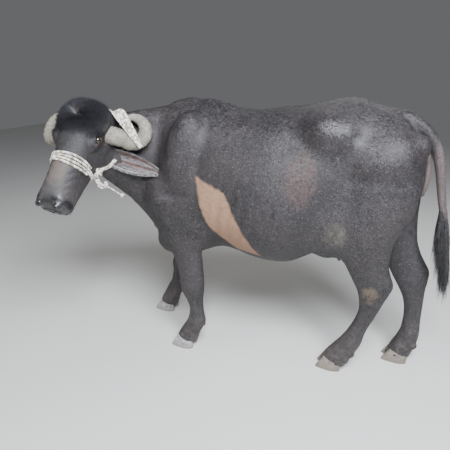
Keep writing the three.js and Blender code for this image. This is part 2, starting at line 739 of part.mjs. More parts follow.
function switchLocks() {
  const random = seeded(11);
  const curve = new THREE.CatmullRomCurve3(TAIL.map((station) => station.at));
  const locks = [];
  for (let i = 0; i < SWITCH.locks; i += 1) {
    const t = lerp(SWITCH.from, 0.99, (i / (SWITCH.locks - 1)) ** 0.8);
    const root = curve.getPoint(t);
    const angle = i * 2.4;
    const out = V(Math.cos(angle), Math.sin(angle), 0);
    const leave = V(0.06, 0, -1).addScaledVector(out, 0.28).normalize();
    const arrive = V(0.05, 0, -1).addScaledVector(out, 0.02 + 0.06 * random()).normalize();
    const reach = SWITCH.length * (0.85 + 0.3 * random());
    root.addScaledVector(out, 2);
    locks.push(lock(root, leave, arrive, reach, SWITCH.half, SWITCH.thick, angle + 1.57 + 0.5 * random()));
  }
  return locks;
}

// Parting the joined flesh

const RED_BROWN_BLACK = 0x2a2423;
const MATERIALS = {
  hide: new THREE.MeshStandardMaterial({ color: RED_BROWN_BLACK, roughness: 0.45, metalness: 0 }),
  horn: new THREE.MeshStandardMaterial({ color: 0x8f887a, roughness: 0.6, metalness: 0 }),
  hoof: new THREE.MeshStandardMaterial({ color: 0x5d5a55, roughness: 0.65, metalness: 0 }),
  eye: new THREE.MeshStandardMaterial({ color: 0x0c0908, roughness: 0.08, metalness: 0 }),
  hair: new THREE.MeshStandardMaterial({ color: 0x141211, roughness: 0.6, metalness: 0 }),
  rope: new THREE.MeshStandardMaterial({ color: 0xd9d0bd, roughness: 0.9, metalness: 0 }),
};

const buffalo = new THREE.Group();
buffalo.position.set(CENTRE.x, CENTRE.y, 0);

function place(name, body, material) {
  const mesh = new THREE.Mesh(geometryOf(largest(body)), MATERIALS[material]);
  mesh.name = name;
  buffalo.add(mesh);
}

const HEAD_PLANE = { normal: headWay(V(0.875, 0.485, 0)), point: onHead(V(-20, 0, 0)) };
const NECK_PLANE = { normal: V(-0.96, -0.17, 0.21), point: V(-560, -20, 980) };
const TAIL_PLANE = { normal: V(0.72, 0, -0.69), point: V(676, 0, 1262) };
const FORE_BOX = { low: V(-860, 104, -10), high: V(-225, 420, 716) };
const HIND_CUT = { normal: V(0.36, 0, -0.93), point: V(330, 0, 742) };
const HIND_INNER = 44;
const HIND_FRONT = 322;

const LEGS = {
  fore_left: FORELEG_LEFT,
  fore_right: FORELEG_RIGHT,
  hind_left: HINDLEG_LEFT,
  hind_right: HINDLEG_RIGHT,
};

const flesh = largest(
  join([
    trunk(),
    neck(),
    ...masses(),
    ...teats(),
    ...Object.values(LEGS).map((stations) => leg(stations)),
    ...Object.values(LEGS).flatMap((stations) => dewclaws(stations)),
  ]),
);

let torso = behind(flesh, NECK_PLANE.normal, NECK_PLANE.point);
const neckPart = beyond(flesh, NECK_PLANE.normal, NECK_PLANE.point);
const hornsGrown = join([-1, 1].map((side) => horn(side, 2 * GAP)));
place("neck", behind(neckPart, HEAD_PLANE.normal, HEAD_PLANE.point).subtract(hornsGrown), "hide");

// The space that a leg is cut out of: outside the inner face of the leg and below the elbow or the flank
function legRegion(name, side, grow) {
  const fore = name.startsWith("fore");
  const inner = (fore ? FORE_BOX.low.y : HIND_INNER) - grow;
  const reach = 420 + grow;
  const low = V(fore ? FORE_BOX.low.x : HIND_FRONT, side < 0 ? -reach : inner, -10);
  const high = V(fore ? FORE_BOX.high.x : 1000, side < 0 ? -inner : reach, fore ? FORE_BOX.high.z : 1200);
  const space = box(low.addScalar(-grow), high.addScalar(grow));
  if (fore) return space;
  const lifted = HIND_CUT.point.clone().addScaledVector(HIND_CUT.normal.clone().normalize(), -grow);
  return beyond(space, HIND_CUT.normal, lifted);
}

Object.entries(FEET).forEach(([name, foot]) => {
  const side = foot.mid < 0 ? -1 : 1;
  const end = coronet(foot);
  const limb = flesh.intersect(legRegion(name, side, 0));
  place(`leg_${name}`, beyond(limb, end.normal, end.point), "hide");
  torso = torso.subtract(legRegion(name, side, GAP));
  [-1, 1].forEach((clawSide) => {
    const label = clawSide === side ? "outer" : "inner";
    place(`hoof_${name}_${label}`, behind(claw(foot, clawSide), end.normal, end.point), "hoof");
  });
});
const tailStub = behind(tailSolid(), TAIL_PLANE.normal, TAIL_PLANE.point);
place("torso", join([torso, tailStub]), "hide");

// The head, with the stubs that the ears and horns grow from and a socket for each eye
const STUB = 34;

function root(side, from, way) {
  const point = from.clone().addScaledVector(way, STUB);
  return { normal: headWay(sided(way, side)), point: onHead(sided(point, side)) };
}

const ROOTS = [-1, 1].map((side) => ({
  side,
  label: side < 0 ? "right" : "left",
  horn: root(side, HORN.base, HORN.out),
  ear: root(side, EAR.root, earWay(side)),
}));
let head = beyond(skull(), HEAD_PLANE.normal, HEAD_PLANE.point);
ROOTS.forEach(({ side, label, horn: hornRoot, ear: earRoot }) => {
  const hornBody = horn(side);
  const earBody = ear(side).subtract(horn(side, 2 * GAP));
  const clear = join([skull(2 * GAP), behind(neckPart, HEAD_PLANE.normal, HEAD_PLANE.point)]);
  place(`horn_${label}`, beyond(hornBody, hornRoot.normal, hornRoot.point).subtract(clear), "horn");
  place(`ear_${label}`, beyond(earBody, earRoot.normal, earRoot.point).subtract(clear), "hide");
  place(`eye_${label}`, eyeball(side, 0), "eye");
  const hornStub = behind(hornBody, hornRoot.normal, hornRoot.point);
  const earStub = behind(earBody, earRoot.normal, earRoot.point);
  [hornStub, earStub].forEach((stub) => {
    head = head.add(beyond(stub, HEAD_PLANE.normal, HEAD_PLANE.point));
  });
  head = head.subtract(eyeball(side, GAP)).subtract(nostril(side));
});
place("head", head.subtract(lipLine()), "hide");

// The halter, cut clear of all that it lies on
const worn = join([skull(GAP), horn(-1, GAP), horn(1, GAP), ear(-1), ear(1)]);

function band() {
  const rings = places(SKULL, "a", 1).map((a) => skullSection(a, NOSEBAND.thick, SKULL_SIDES));
  const slope = V(1, NOSEBAND.slope, 0);
  const start = onHead(V(NOSEBAND.top, 0, 0));
  const end = onHead(V(NOSEBAND.top + NOSEBAND.wide, 0, 0));
  return behind(beyond(headSolid(skin(rings)), headWay(slope), start), headWay(slope), end);
}

function rope(points, side) {
  const route = points.map((point) => sided(point, side));
  const halves = route.map(() => ROPE.half);
  return headSolid(tube(route, halves, ROPE.sides, 1, V(0.3, 1, 0.2)));
}

const noseband = join([band(), headEllipsoid(KNOT, 1), headEllipsoid(KNOT, -1), rope(TIE, 1)]).subtract(worn);
place("halter_noseband", noseband, "rope");
const clearOfKnots = join([noseband, headEllipsoid(KNOT, 1, GAP), headEllipsoid(KNOT, -1, GAP), band()]);
ROOTS.forEach((root) => {
  const cheek = rope(CHEEK_ROPE, root.side).subtract(worn).subtract(clearOfKnots);
  place(`halter_cheek_${root.label}`, cheek, "rope");
});

function headpiece() {
  const face = HORN.out.clone().cross(HORN.up).normalize();
  if (face.y < 0) face.negate();
  const near = OVER_HORN.map(({ out, up, off }) =>
    HORN.base
      .clone()
      .addScaledVector(HORN.out, out)
      .addScaledVector(HORN.up, up)
      .addScaledVector(face, off),
  );
  const halves = [...OVER_HORN.map((station) => station.half), ...BEHIND_POLL.map(() => HEADPIECE.half)];
  return headSolid(tube([...near, ...BEHIND_POLL], halves, ROPE.sides, HEADPIECE.flat, V(0.5, 0.8, 0.3)));
}

const onNeck = behind(neckPart, HEAD_PLANE.normal, HEAD_PLANE.point);
place("halter_headpiece", headpiece().subtract(worn).subtract(onNeck), "rope");

// The tail and its switch
const tail = beyond(tailSolid(), TAIL_PLANE.normal, TAIL_PLANE.point).subtract(trunk(2 * GAP));
const locks = switchLocks();
const SWITCH_PLANE = { normal: V(0.25, 0, -1), point: V(838, 0, 838) };
place("tail", behind(tail, SWITCH_PLANE.normal, SWITCH_PLANE.point), "hide");
const brush = join([beyond(tail, SWITCH_PLANE.normal, SWITCH_PLANE.point), ...locks]);
place("tail_switch", beyond(brush, SWITCH_PLANE.normal, SWITCH_PLANE.point), "hair");

export default buffalo;
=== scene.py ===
# %% [markdown]
# # A water buffalo in a rope halter
# The model is a still, life-size animal. The imported CAD model is the frame: its hooves give the floor.
# The body is described by the same named stations as the solids, this time as one smooth field, so that a
# single skin covers trunk, neck, head, legs and tail with no seam between them.

# %% Load the frame
import math

import bmesh
import bpy
import numpy as np
import openvdb
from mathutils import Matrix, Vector


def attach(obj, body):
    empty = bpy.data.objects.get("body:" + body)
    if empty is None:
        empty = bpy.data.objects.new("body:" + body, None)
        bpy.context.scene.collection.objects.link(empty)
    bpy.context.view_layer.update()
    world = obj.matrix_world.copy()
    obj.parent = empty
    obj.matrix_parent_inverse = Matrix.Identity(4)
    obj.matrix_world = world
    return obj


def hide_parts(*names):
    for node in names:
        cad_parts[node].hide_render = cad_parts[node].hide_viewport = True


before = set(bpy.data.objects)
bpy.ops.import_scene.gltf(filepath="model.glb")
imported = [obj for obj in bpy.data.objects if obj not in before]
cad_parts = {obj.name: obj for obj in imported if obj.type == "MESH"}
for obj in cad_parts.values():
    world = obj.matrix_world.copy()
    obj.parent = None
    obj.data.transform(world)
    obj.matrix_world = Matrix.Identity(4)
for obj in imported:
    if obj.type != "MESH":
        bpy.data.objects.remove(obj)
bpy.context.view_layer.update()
MM = 0.001
CENTRE = np.array([0.136, 0.146, 0.0])  # from the tables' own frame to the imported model's frame
print("nodes", len(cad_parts))

# %% [markdown]
# ## Camera and light
# The photograph was taken by hand at about 1.5 m, looking 19 degrees down and 20 degrees round from the
# side.

# %% Camera, floor and lights
CAMERA_AT = Vector((0.559, -2.219, 1.5)) + Vector(CENTRE)
CAMERA_PITCH = math.radians(19.0)
CAMERA_TURN = math.radians(20.0)
FOCAL_PIXELS = 451.0
PHOTO_PIXELS = 450.0
SENSOR = 36.0

scene = bpy.context.scene
camera_data = bpy.data.cameras.new("camera")
camera_data.sensor_width = SENSOR
camera_data.lens = SENSOR * FOCAL_PIXELS / PHOTO_PIXELS
camera = bpy.data.objects.new("camera", camera_data)
camera.location = CAMERA_AT
camera.rotation_euler = (math.pi / 2 - CAMERA_PITCH, 0.0, CAMERA_TURN)
scene.collection.objects.link(camera)
scene.camera = camera


def area_light(name, at, aim, size, watts, colour):
    data = bpy.data.lights.new(name, "AREA")
    data.shape = "RECTANGLE"
    data.size, data.size_y = size
    data.energy = watts
    data.color = colour
    lamp = bpy.data.objects.new(name, data)
    lamp.location = at
    lamp.rotation_euler = (Vector(aim) - Vector(at)).to_track_quat("-Z", "Y").to_euler()
    scene.collection.objects.link(lamp)


area_light("sky_window", (1.45, -2.2, 3.3), (0.3, 0.0, 1.0), (2.0, 1.5), 480, (0.90, 0.94, 1.0))
area_light("door_fill", (-3.0, -2.6, 1.9), (-0.5, -0.1, 0.9), (2.4, 2.4), 46, (1.0, 0.98, 0.95))
area_light("back_rim", (0.6, 3.0, 3.0), (0.2, 0.2, 1.1), (3.0, 1.6), 32, (1.0, 1.0, 1.0))
world = bpy.data.worlds.new("studio")
world.use_nodes = True
world.node_tree.nodes["Background"].inputs["Color"].default_value = (0.80, 0.82, 0.85, 1.0)
world.node_tree.nodes["Background"].inputs["Strength"].default_value = 0.17
scene.world = world


# %% [markdown]
# ## Shader maths as expressions
# A socket is wrapped in a small class, so a pattern reads as a formula and each operator adds its own node.

# %% The expression class
class Sock:
    def __init__(self, tree, socket):
        self.tree = tree
        self.socket = socket

    def math(self, operation, *others):
        node = self.tree.nodes.new("ShaderNodeMath")
        node.operation = operation
        for slot, value in zip(node.inputs, (self, *others)):
            if isinstance(value, Sock):
                self.tree.links.new(value.socket, slot)
            else:
                slot.default_value = value
        return Sock(self.tree, node.outputs[0])

    def __add__(self, other):
        return self.math("ADD", other)

    __radd__ = __add__

    def __mul__(self, other):
        return self.math("MULTIPLY", other)

    __rmul__ = __mul__

    def __sub__(self, other):
        return self.math("SUBTRACT", other)

    def __rsub__(self, other):
        return (self * -1.0) + other

    def __truediv__(self, other):
        return self.math("DIVIDE", other)

    def maximum(self, other):
        return self.math("MAXIMUM", other)

    def minimum(self, other):
        return self.math("MINIMUM", other)

    def step(self, low, high):
        node = self.tree.nodes.new("ShaderNodeMapRange")
        node.interpolation_type = "SMOOTHSTEP"
        self.tree.links.new(self.socket, node.inputs["Value"])
        node.inputs["From Min"].default_value = low
        node.inputs["From Max"].default_value = high
        return Sock(self.tree, node.outputs["Result"])


class Finish:
    """A material being built: its nodes, its expressions and its principled shader."""

    def __init__(self, name):
        self.material = bpy.data.materials.new(name)
        self.material.use_nodes = True
        self.tree = self.material.node_tree
        self.shader = self.tree.nodes["Principled BSDF"]
        self.place = self.node("ShaderNodeTexCoord", output="Object")
        axes = self.node("ShaderNodeSeparateXYZ", {}, {"Vector": self.place}, output=None)
        self.x, self.y, self.z = (Sock(self.tree, socket) for socket in axes.outputs)

    def node(self, kind, settings=None, values=None, output=0):
        node = self.tree.nodes.new(kind)
        for key, value in (settings or {}).items():
            setattr(node, key, value)
        for key, value in (values or {}).items():
            if isinstance(value, Sock):
                self.tree.links.new(value.socket, node.inputs[key])
            else:
                node.inputs[key].default_value = value
        return node if output is None else Sock(self.tree, node.outputs[output])

    def noise(self, scale, detail=4.0, rough=0.55, stretch=None):
        place = self.place
        if stretch:
            place = self.node("ShaderNodeMapping", {}, {"Vector": place, "Scale": stretch})
        values = {"Vector": place, "Scale": scale, "Detail": detail, "Roughness": rough}
        return self.node("ShaderNodeTexNoise", {}, values)

    def cells(self, scale):
        return self.node("ShaderNodeTexVoronoi", {}, {"Vector": self.place, "Scale": scale})

    def mix(self, mask, under, over):
        node = self.tree.nodes.new("ShaderNodeMix")
        node.data_type = "RGBA"
        for slot, value in ((0, mask), (6, under), (7, over)):
            if isinstance(value, Sock):
                self.tree.links.new(value.socket, node.inputs[slot])
            else:
                node.inputs[slot].default_value = (*value, 1.0) if slot else value
        return Sock(self.tree, node.outputs[2])

    def near(self, at, radii):
        """1 at a place in the model's frame, falling to 0 at the radii given along x, y and z."""
        parts = [(axis - c) / r for axis, c, r in zip((self.x, self.y, self.z), at, radii)]
        far = parts[0] * parts[0] + parts[1] * parts[1] + parts[2] * parts[2]
        return 1.0 - far.step(0.25, 1.0)

    def feed(self, socket, value):
        self.tree.links.new(value.socket, self.shader.inputs[socket])

    def bump(self, height, distance, strength=1.0):
        values = {"Height": height, "Distance": distance, "Strength": strength}
        self.feed("Normal", self.node("ShaderNodeBump", {}, values))


# %% [markdown]
# ## The animal's stations
# Every flesh form is a row of stations: where it is, how wide and how high. They are the same named sizes
# that the solids are made from, in millimetres, and a smooth curve runs through each quantity.

# %% Stations of trunk, neck, head and legs
# trunk: x, back line, belly line, half width, height of the widest point, roundness above and below
TRUNK = np.array([
    (-640, 930, 600, 70, 760, 2.0, 2.0), (-600, 1160, 530, 135, 820, 2.0, 2.0),
    (-540, 1300, 500, 185, 880, 1.9, 2.0), (-470, 1346, 500, 222, 900, 1.8, 2.0),
    (-386, 1357, 522, 245, 900, 1.75, 2.1), (-300, 1354, 560, 262, 890, 1.8, 2.1),
    (-222, 1336, 585, 280, 885, 1.9, 2.1), (-127, 1314, 577, 303, 885, 2.0, 2.1),
    (-44, 1312, 556, 324, 885, 2.0, 2.1), (50, 1326, 546, 335, 890, 2.0, 2.1),
    (143, 1337, 556, 328, 900, 2.0, 2.1), (240, 1354, 602, 300, 920, 2.25, 2.0),
    (319, 1372, 640, 266, 960, 2.6, 2.0), (399, 1379, 665, 240, 1000, 2.7, 2.0),
    (480, 1354, 700, 222, 1020, 2.6, 2.0), (560, 1328, 770, 196, 1040, 2.5, 2.0),
    (640, 1272, 850, 152, 1050, 2.3, 2.0), (690, 1188, 900, 108, 1060, 2.0, 2.0),
    (722, 1120, 955, 60, 1070, 2.0, 2.0),
])
# neck: x, y, crest, throat, half width, height of the widest point
NECK = np.array([
    (-430, 0, 1342, 540, 150, 900), (-520, -15, 1334, 525, 150, 905), (-600, -42, 1318, 610, 136, 950),
    (-680, -85, 1304, 722, 121, 1000), (-750, -135, 1293, 830, 109, 1050),
    (-810, -190, 1290, 905, 98, 1090), (-850, -250, 1288, 970, 88, 1120),
    (-870, -300, 1270, 1025, 86, 1140),
])
HEAD = {"at": (-855, -330, 1337), "yaw": 84.0, "pitch": 50.0, "roll": 10.0}
# head: a from poll to nose, top, chin, half width, widest, roundness above and below
SKULL = np.array([
    (-45, -50, -170, 81, -110, 2.0, 2.0), (-25, -12, -190, 110, -100, 2.1, 2.0),
    (10, 14, -205, 124, -88, 2.1, 2.0), (60, 30, -222, 130, -80, 2.1, 2.1),
    (115, 32, -238, 122, -80, 2.1, 2.3), (165, 24, -242, 108, -84, 2.1, 2.5),
    (230, 12, -232, 94, -90, 2.1, 2.7), (290, 3, -222, 86, -92, 2.1, 2.8),
    (350, -3, -212, 80, -92, 2.2, 2.7), (410, -8, -196, 78, -94, 2.3, 2.6),
    (460, -13, -180, 83, -96, 2.4, 2.5), (490, -24, -172, 88, -98, 2.5, 2.4),
    (511, -42, -160, 81, -98, 2.4, 2.3), (525, -68, -136, 58, -100, 2.1, 2.1),
])
# legs: z, front edge, rear edge, middle, half width
FORELEG_LEFT = np.array([
    (860, -610, -250, -158, 84), (760, -580, -275, -172, 80), (680, -541, -300, -178, 74),
    (600, -501, -321, -178, 66), (540, -471, -315, -176, 59), (485, -456, -311, -175, 54),
    (430, -446, -308, -174, 55), (385, -440, -308, -174, 60), (340, -432, -310, -174, 52),
    (300, -412, -313, -175, 40), (249, -394, -311, -176, 34), (210, -396, -306, -176, 37),
    (165, -410, -300, -176, 46), (125, -434, -318, -176, 43), (90, -456, -334, -176, 50),
    (40, -478, -350, -176, 56),
])
HINDLEG_LEFT = np.array([
    (1000, 330, 690, -140, 96), (900, 325, 690, -155, 98), (820, 325, 655, -160, 94),
    (740, 345, 628, -160, 86), (680, 378, 621, -156, 77), (622, 416, 622, -150, 66),
    (573, 442, 638, -146, 56), (533, 462, 651, -142, 51), (483, 487, 638, -138, 50),
    (431, 500, 617, -134, 46), (376, 502, 597, -130, 40), (329, 492, 580, -126, 38),
    (279, 473, 560, -122, 37), (234, 452, 547, -118, 39), (180, 421, 537, -112, 47),
    (143, 394, 525, -108, 46), (95, 360, 500, -104, 52), (40, 330, 480, -100, 58),
])
FORELEG_RIGHT = np.array([
    (860, -625, -270, 158, 84), (760, -618, -318, 170, 80), (680, -606, -368, 174, 74),
    (600, -598, -420, 172, 66), (540, -602, -448, 170, 59), (485, -618, -474, 168, 54),
    (430, -636, -500, 167, 55), (385, -650, -520, 166, 60), (340, -660, -540, 166, 52),
    (300, -657, -560, 166, 40), (249, -664, -582, 166, 34), (210, -676, -588, 166, 37),
    (165, -702, -596, 166, 46), (125, -724, -612, 166, 43), (90, -742, -624, 166, 50),
    (40, -762, -640, 166, 56),
])
HINDLEG_RIGHT = np.array([
    (1000, 380, 712, 140, 96), (900, 400, 735, 152, 98), (820, 420, 735, 150, 94),
    (740, 455, 740, 142, 86), (680, 500, 748, 132, 77), (622, 548, 768, 122, 66),
    (573, 588, 796, 112, 56), (533, 618, 820, 105, 51), (483, 648, 822, 99, 50),
    (431, 680, 816, 95, 46), (376, 708, 815, 92, 40), (329, 720, 815, 91, 38), (279, 725, 815, 90, 37),
    (234, 724, 816, 90, 39), (180, 718, 819, 89, 47), (143, 704, 817, 88, 46), (95, 682, 806, 88, 52),
    (40, 660, 790, 88, 58),
])
LEGS = {
    "fore_left": FORELEG_LEFT, "fore_right": FORELEG_RIGHT,
    "hind_left": HINDLEG_LEFT, "hind_right": HINDLEG_RIGHT,
}
# tail: x, z, half width
TAIL = np.array([
    (560, 1300, 34), (628, 1290, 40), (690, 1250, 37), (734, 1205, 31), (768, 1145, 27),
    (788, 1070, 24), (801, 990, 21), (818, 905, 19), (842, 820, 17), (862, 735, 14), (872, 655, 9),
])
FEET = {
    "fore_left": (-500, -176), "fore_right": (-786, 166), "hind_left": (312, -100), "hind_right": (640, 88),
}


# %% [markdown]
# ## The field
# A field is a function that is negative inside the body and zero on the skin. Each loft gives one; a smooth
# minimum melts them together, which is how flesh runs from a leg into a trunk.

# %% Curves through stations, and the head's own frame
def follow(table, column, t):
    """One column of a table at places t along its first column, by a smooth cubic through the stations."""
    knots = table[:, 0]
    order = np.argsort(knots)
    knots = knots[order]
    values = table[order, column]
    slopes = np.gradient(values, knots)
    t = np.clip(t, knots[0], knots[-1])
    i = np.clip(np.searchsorted(knots, t) - 1, 0, len(knots) - 2)
    span = knots[i + 1] - knots[i]
    u = (t - knots[i]) / span
    return (
        (2 * u**3 - 3 * u**2 + 1) * values[i]
        + (u**3 - 2 * u**2 + u) * slopes[i] * span
        + (3 * u**2 - 2 * u**3) * values[i + 1]
        + (u**3 - u**2) * slopes[i + 1] * span
    )


def head_axes():
    yaw, pitch, roll = (math.radians(HEAD[key]) for key in ("yaw", "pitch", "roll"))
    ahead = np.array([-math.cos(yaw), -math.sin(yaw), 0.0])
    up = np.array([0.0, 0.0, 1.0])
    along = ahead * math.cos(pitch) - up * math.sin(pitch)
    brow_and_blue_sheen = ahead * math.sin(pitch) + up * math.cos(pitch)
    left = np.cross(up, ahead)
    return np.stack([
        along,
        brow_and_blue_sheen * math.cos(roll) + left * math.sin(roll),
        left * math.cos(roll) - brow_and_blue_sheen * math.sin(roll),
    ])


HEAD_AXES = head_axes()
HEAD_AT = np.array(HEAD["at"], float)


def to_head(points):
    return (points - HEAD_AT) @ HEAD_AXES.T


def from_head(local):
    return np.asarray(local, float) @ HEAD_AXES + HEAD_AT


def in_model(points):
    """Millimetres in the tables' frame to metres in the model's frame."""
    return np.asarray(points, float) * MM + CENTRE


# %% Fields of the pieces of flesh
def oval(side, height, half, up, down, round_up, round_down):
    """How far a point is from a section that has its own height and roundness above and below."""
    reach = np.where(height > 0, up, down)
    power = np.where(height > 0, round_up, round_down)
    ratio = (np.abs(side / half) ** power + np.abs(height / reach) ** power + 1e-9) ** (1 / power)
    size = np.hypot(side, height)
    return np.where(ratio > 1e-3, size * (1 - 1 / np.maximum(ratio, 1e-3)), -np.minimum(half, reach))


def ends(t, low, high):
    return np.maximum(np.maximum(low - t, t - high), 0.0)


def trunk_field(p):
    x, y, z = p.T
    top, belly, half, wide, above, below = (follow(TRUNK, c, x) for c in range(1, 7))
    d = oval(y, z - wide, half, top - wide, wide - belly, above, below)
    out = ends(x, TRUNK[0, 0], TRUNK[-1, 0])
    return np.where(out > 0, np.hypot(np.maximum(d, 0), out), d)


def leg_field(p, table):
    x, y, z = p.T
    front, rear, middle, half = (follow(table, c, z) for c in range(1, 5))
    deep = (rear - front) / 2
    d = oval(y - middle, (front + rear) / 2 - x, half, deep, deep, 2.2, 2.0)
    low, high = table[:, 0].min(), table[:, 0].max()
    out = ends(z, low, high)
    return np.where(out > 0, np.hypot(np.maximum(d, 0), out), d)


def skull_field(p):
    a, n, s = to_head(p).T
    top, chin, half, wide, above, below = (follow(SKULL, c, a) for c in range(1, 7))
    d = oval(s, n - wide, half, top - wide, wide - chin, above, below)
    out = ends(a, SKULL[0, 0], SKULL[-1, 0])
    return np.where(out > 0, np.hypot(np.maximum(d, 0), out), d)


def smooth_min(a, b, k):
    h = np.clip(0.5 + 0.5 * (b - a) / k, 0, 1)
    return b + (a - b) * h - k * h * (1 - h)


def smooth_max(a, b, k):
    return -smooth_min(-a, -b, k)


def neck_field(p):
    fine = np.linspace(0, len(NECK) - 1, 15)
    rows = np.stack([np.interp(fine, np.arange(len(NECK)), NECK[:, c]) for c in range(6)], axis=1)
    best = None
    for a, b in zip(rows[:-1], rows[1:]):
        way = b[:2] - a[:2]
        length = np.linalg.norm(way)
        way = way / length
        along = (p[:, :2] - a[:2]) @ way
        t = np.clip(along / length, 0, 1)
        side = (p[:, 0] - a[0]) * way[1] - (p[:, 1] - a[1]) * way[0]
        crest, throat, half, wide = (a[c] + (b[c] - a[c]) * t for c in range(2, 6))
        d = oval(side, p[:, 2] - wide, half, crest - wide, wide - throat, 1.8, 1.9)
        out = ends(along, 0, length)
        d = np.where(out > 0, np.hypot(np.maximum(d, 0), out), d)
        best = d if best is None else np.minimum(best, d)
    return best


def tail_field(p):
    best = None
    fine = np.linspace(0, len(TAIL) - 1, 22)
    rows = np.stack([np.interp(fine, np.arange(len(TAIL)), TAIL[:, c]) for c in range(3)], axis=1)
    for a, b in zip(rows[:-1], rows[1:]):
        start = np.array([a[0], 0, a[1]])
        way = np.array([b[0] - a[0], 0, b[1] - a[1]])
        t = np.clip((p - start) @ way / (way @ way), 0, 1)
        d = np.linalg.norm(p - start - t[:, None] * way, axis=1) - (a[2] + (b[2] - a[2]) * t)
        best = d if best is None else np.minimum(best, d)
    return best


def ball(p, at, radii, tilt=0.0):
    """An ellipsoid, tilted about y in degrees as the solids' masses are."""
    q = p - np.array(at, float)
    c, s = math.cos(math.radians(tilt)), math.sin(math.radians(tilt))
    q = np.stack([q[:, 0] * c - q[:, 2] * s, q[:, 1], q[:, 0] * s + q[:, 2] * c], axis=1)
    r = np.linalg.norm(q / radii, axis=1)
    size = np.linalg.norm(q, axis=1)
    return (r - 1) * min(radii) * np.clip(size / (min(radii) * np.maximum(r, 1e-6)), 1, 1.6)


# %% Masses that stand out, and the animal's relief
PAIRED = [
    ((316, 192, 1238), (104, 74, 74), 10, 95), ((660, 96, 1172), (74, 50, 66), -30, 80),
    ((530, 168, 1135), (105, 78, 100), 20, 90), ((540, 142, 1000), (158, 96, 215), 8, 80),
    ((-420, 158, 1110), (95, 92, 205), 18, 60), ((-548, 142, 880), (84, 92, 120), 0, 60),
    ((-350, 190, 745), (62, 54, 85), -12, 45), ((330, 190, 800), (110, 62, 150), 0, 60),
]
MIDDLE = [
    ((-572, 0, 560), (84, 78, 62), 0, 60), ((415, 0, 665), (105, 78, 58), -12, 40),
    ((712, 0, 1040), (38, 32, 100), 0, 40),
]
TEATS = [(415 + fore * 34, side * 34) for fore in (-1, 1) for side in (-1, 1)]
EYE = {"at": (150, -45, 112), "radius": 23.0, "look": (0.1, 0.5, 0.86)}
ORBIT = ((156, -48, 92), (50, 40, 34))
MASSETER = ((140, -160, 74), (95, 72, 36))
NOSTRIL_AT = (505, -56, 47)
COAT_DEPTH = 2.0


def bell(p, at, radii):
    q = (p - np.array(at, float)) / np.array(radii, float)
    return np.exp(-2.0 * np.sum(q * q, axis=1))


def crease(distance, width):
    return np.exp(-((distance / width) ** 2))


def relief(p):
    """Millimetres that the skin stands above the plain forms: bones, muscles, hollows and folds."""
    x, y, z = p.T
    near = np.clip(-y / 60, -1, 1)
    out = np.zeros(len(p))
    for side in (-1, 1):
        out -= 13 * bell(p, (185, side * 262, 1190), (105, 75, 75))
        out -= 9 * bell(p, (470, side * 215, 1235), (95, 55, 50))
        out -= 12 * bell(p, (640, side * 70, 1215), (55, 40, 55))
        out += 7 * bell(p, (-395, side * 200, 1210), (45, 70, 150))
        out -= 8 * bell(p, (-500, side * 215, 1090), (48, 60, 170))
        out -= 10 * bell(p, (-310, side * 250, 1000), (40, 60, 190))
        out -= 9 * bell(p, (430, side * 220, 960), (70, 60, 160))
        out -= 10 * bell(p, (650, side * 150, 900), (35, 60, 170))
    ribs = np.clip((1120 - z) / 200, 0, 1) * np.clip((z - 640) / 120, 0, 1)
    ribs = ribs * np.clip((x + 270) / 90, 0, 1) * np.clip((230 - x) / 120, 0, 1)
    out += 2.2 * ribs * np.cos((x + 0.22 * (1000 - z)) / 64 * 2 * math.pi)
    spine = crease(y, 20) * np.clip((x + 420) / 80, 0, 1) * np.clip((620 - x) / 60, 0, 1)
    out += 5 * spine * np.clip((z - 1200) / 60, 0, 1)
    # folds of loose skin down the neck and behind the elbow
    along = x * 0.86 - y * 0.5
    fold = np.clip((-560 - x) / 60, 0, 1) * np.clip((x + 800) / 40, 0, 1) * np.clip((1230 - z) / 130, 0, 1)
    wave = along / 34 + 0.35 * np.sin(z / 90) + 0.2 * np.sin(z / 37)
    out += 5.2 * fold * (np.abs(np.sin(wave * math.pi)) - 0.5) * (0.6 + 0.4 * np.sin(z / 60 + x / 45))
    elbow = bell(p, (-345, -230, 690), (75, 80, 60)) + bell(p, (-360, 230, 690), (75, 80, 60))
    out -= 9 * elbow * np.abs(np.cos((x * 0.55 + z * 0.84) / 19 * math.pi)) ** 6
    # tendons and the groove behind each cannon bone
    for name, table in LEGS.items():
        front, rear, middle, half = (follow(table, c, z) for c in range(1, 5))
        cannon = np.clip((335 - z) / 40, 0, 1) * np.clip((z - 165) / 40, 0, 1)
        if name.startswith("hind"):
            cannon = np.clip((440 - z) / 60, 0, 1) * np.clip((z - 175) / 40, 0, 1)
        inside = np.abs(y - middle) < half * 1.6
        groove = crease(x - (rear - 0.3 * (rear - front)), 8)
        out -= 6 * cannon * groove * inside * (np.abs(y - middle) > half * 0.3)
    out += 2.0 * near * bell(p, (-180, -270, 1080), (200, 60, 60)) * np.sin((x * 0.6 + z * 0.8) / 28)
    for start in (-250, -130):
        streak = crease((x - start) * 0.62 - (z - 1230) * 0.78, 6)
        out += 3.5 * (streak * bell(p, (start, -190, 1230), (75, 120, 75)))
    return out


def eye_axes(local, side):
    """Places about an eye: towards the nose, upwards over the lid, and out the way that the eye looks."""
    look = np.array(EYE["look"]) / np.linalg.norm(EYE["look"])
    along = np.array([1.0, 0.0, 0.0]) - look * look[0]
    along = along / np.linalg.norm(along)
    over = np.cross(along, -look)
    q = local * (1, 1, side) - np.array(EYE["at"])
    return q @ along, q @ (over if over[1] > 0 else -over), q @ look


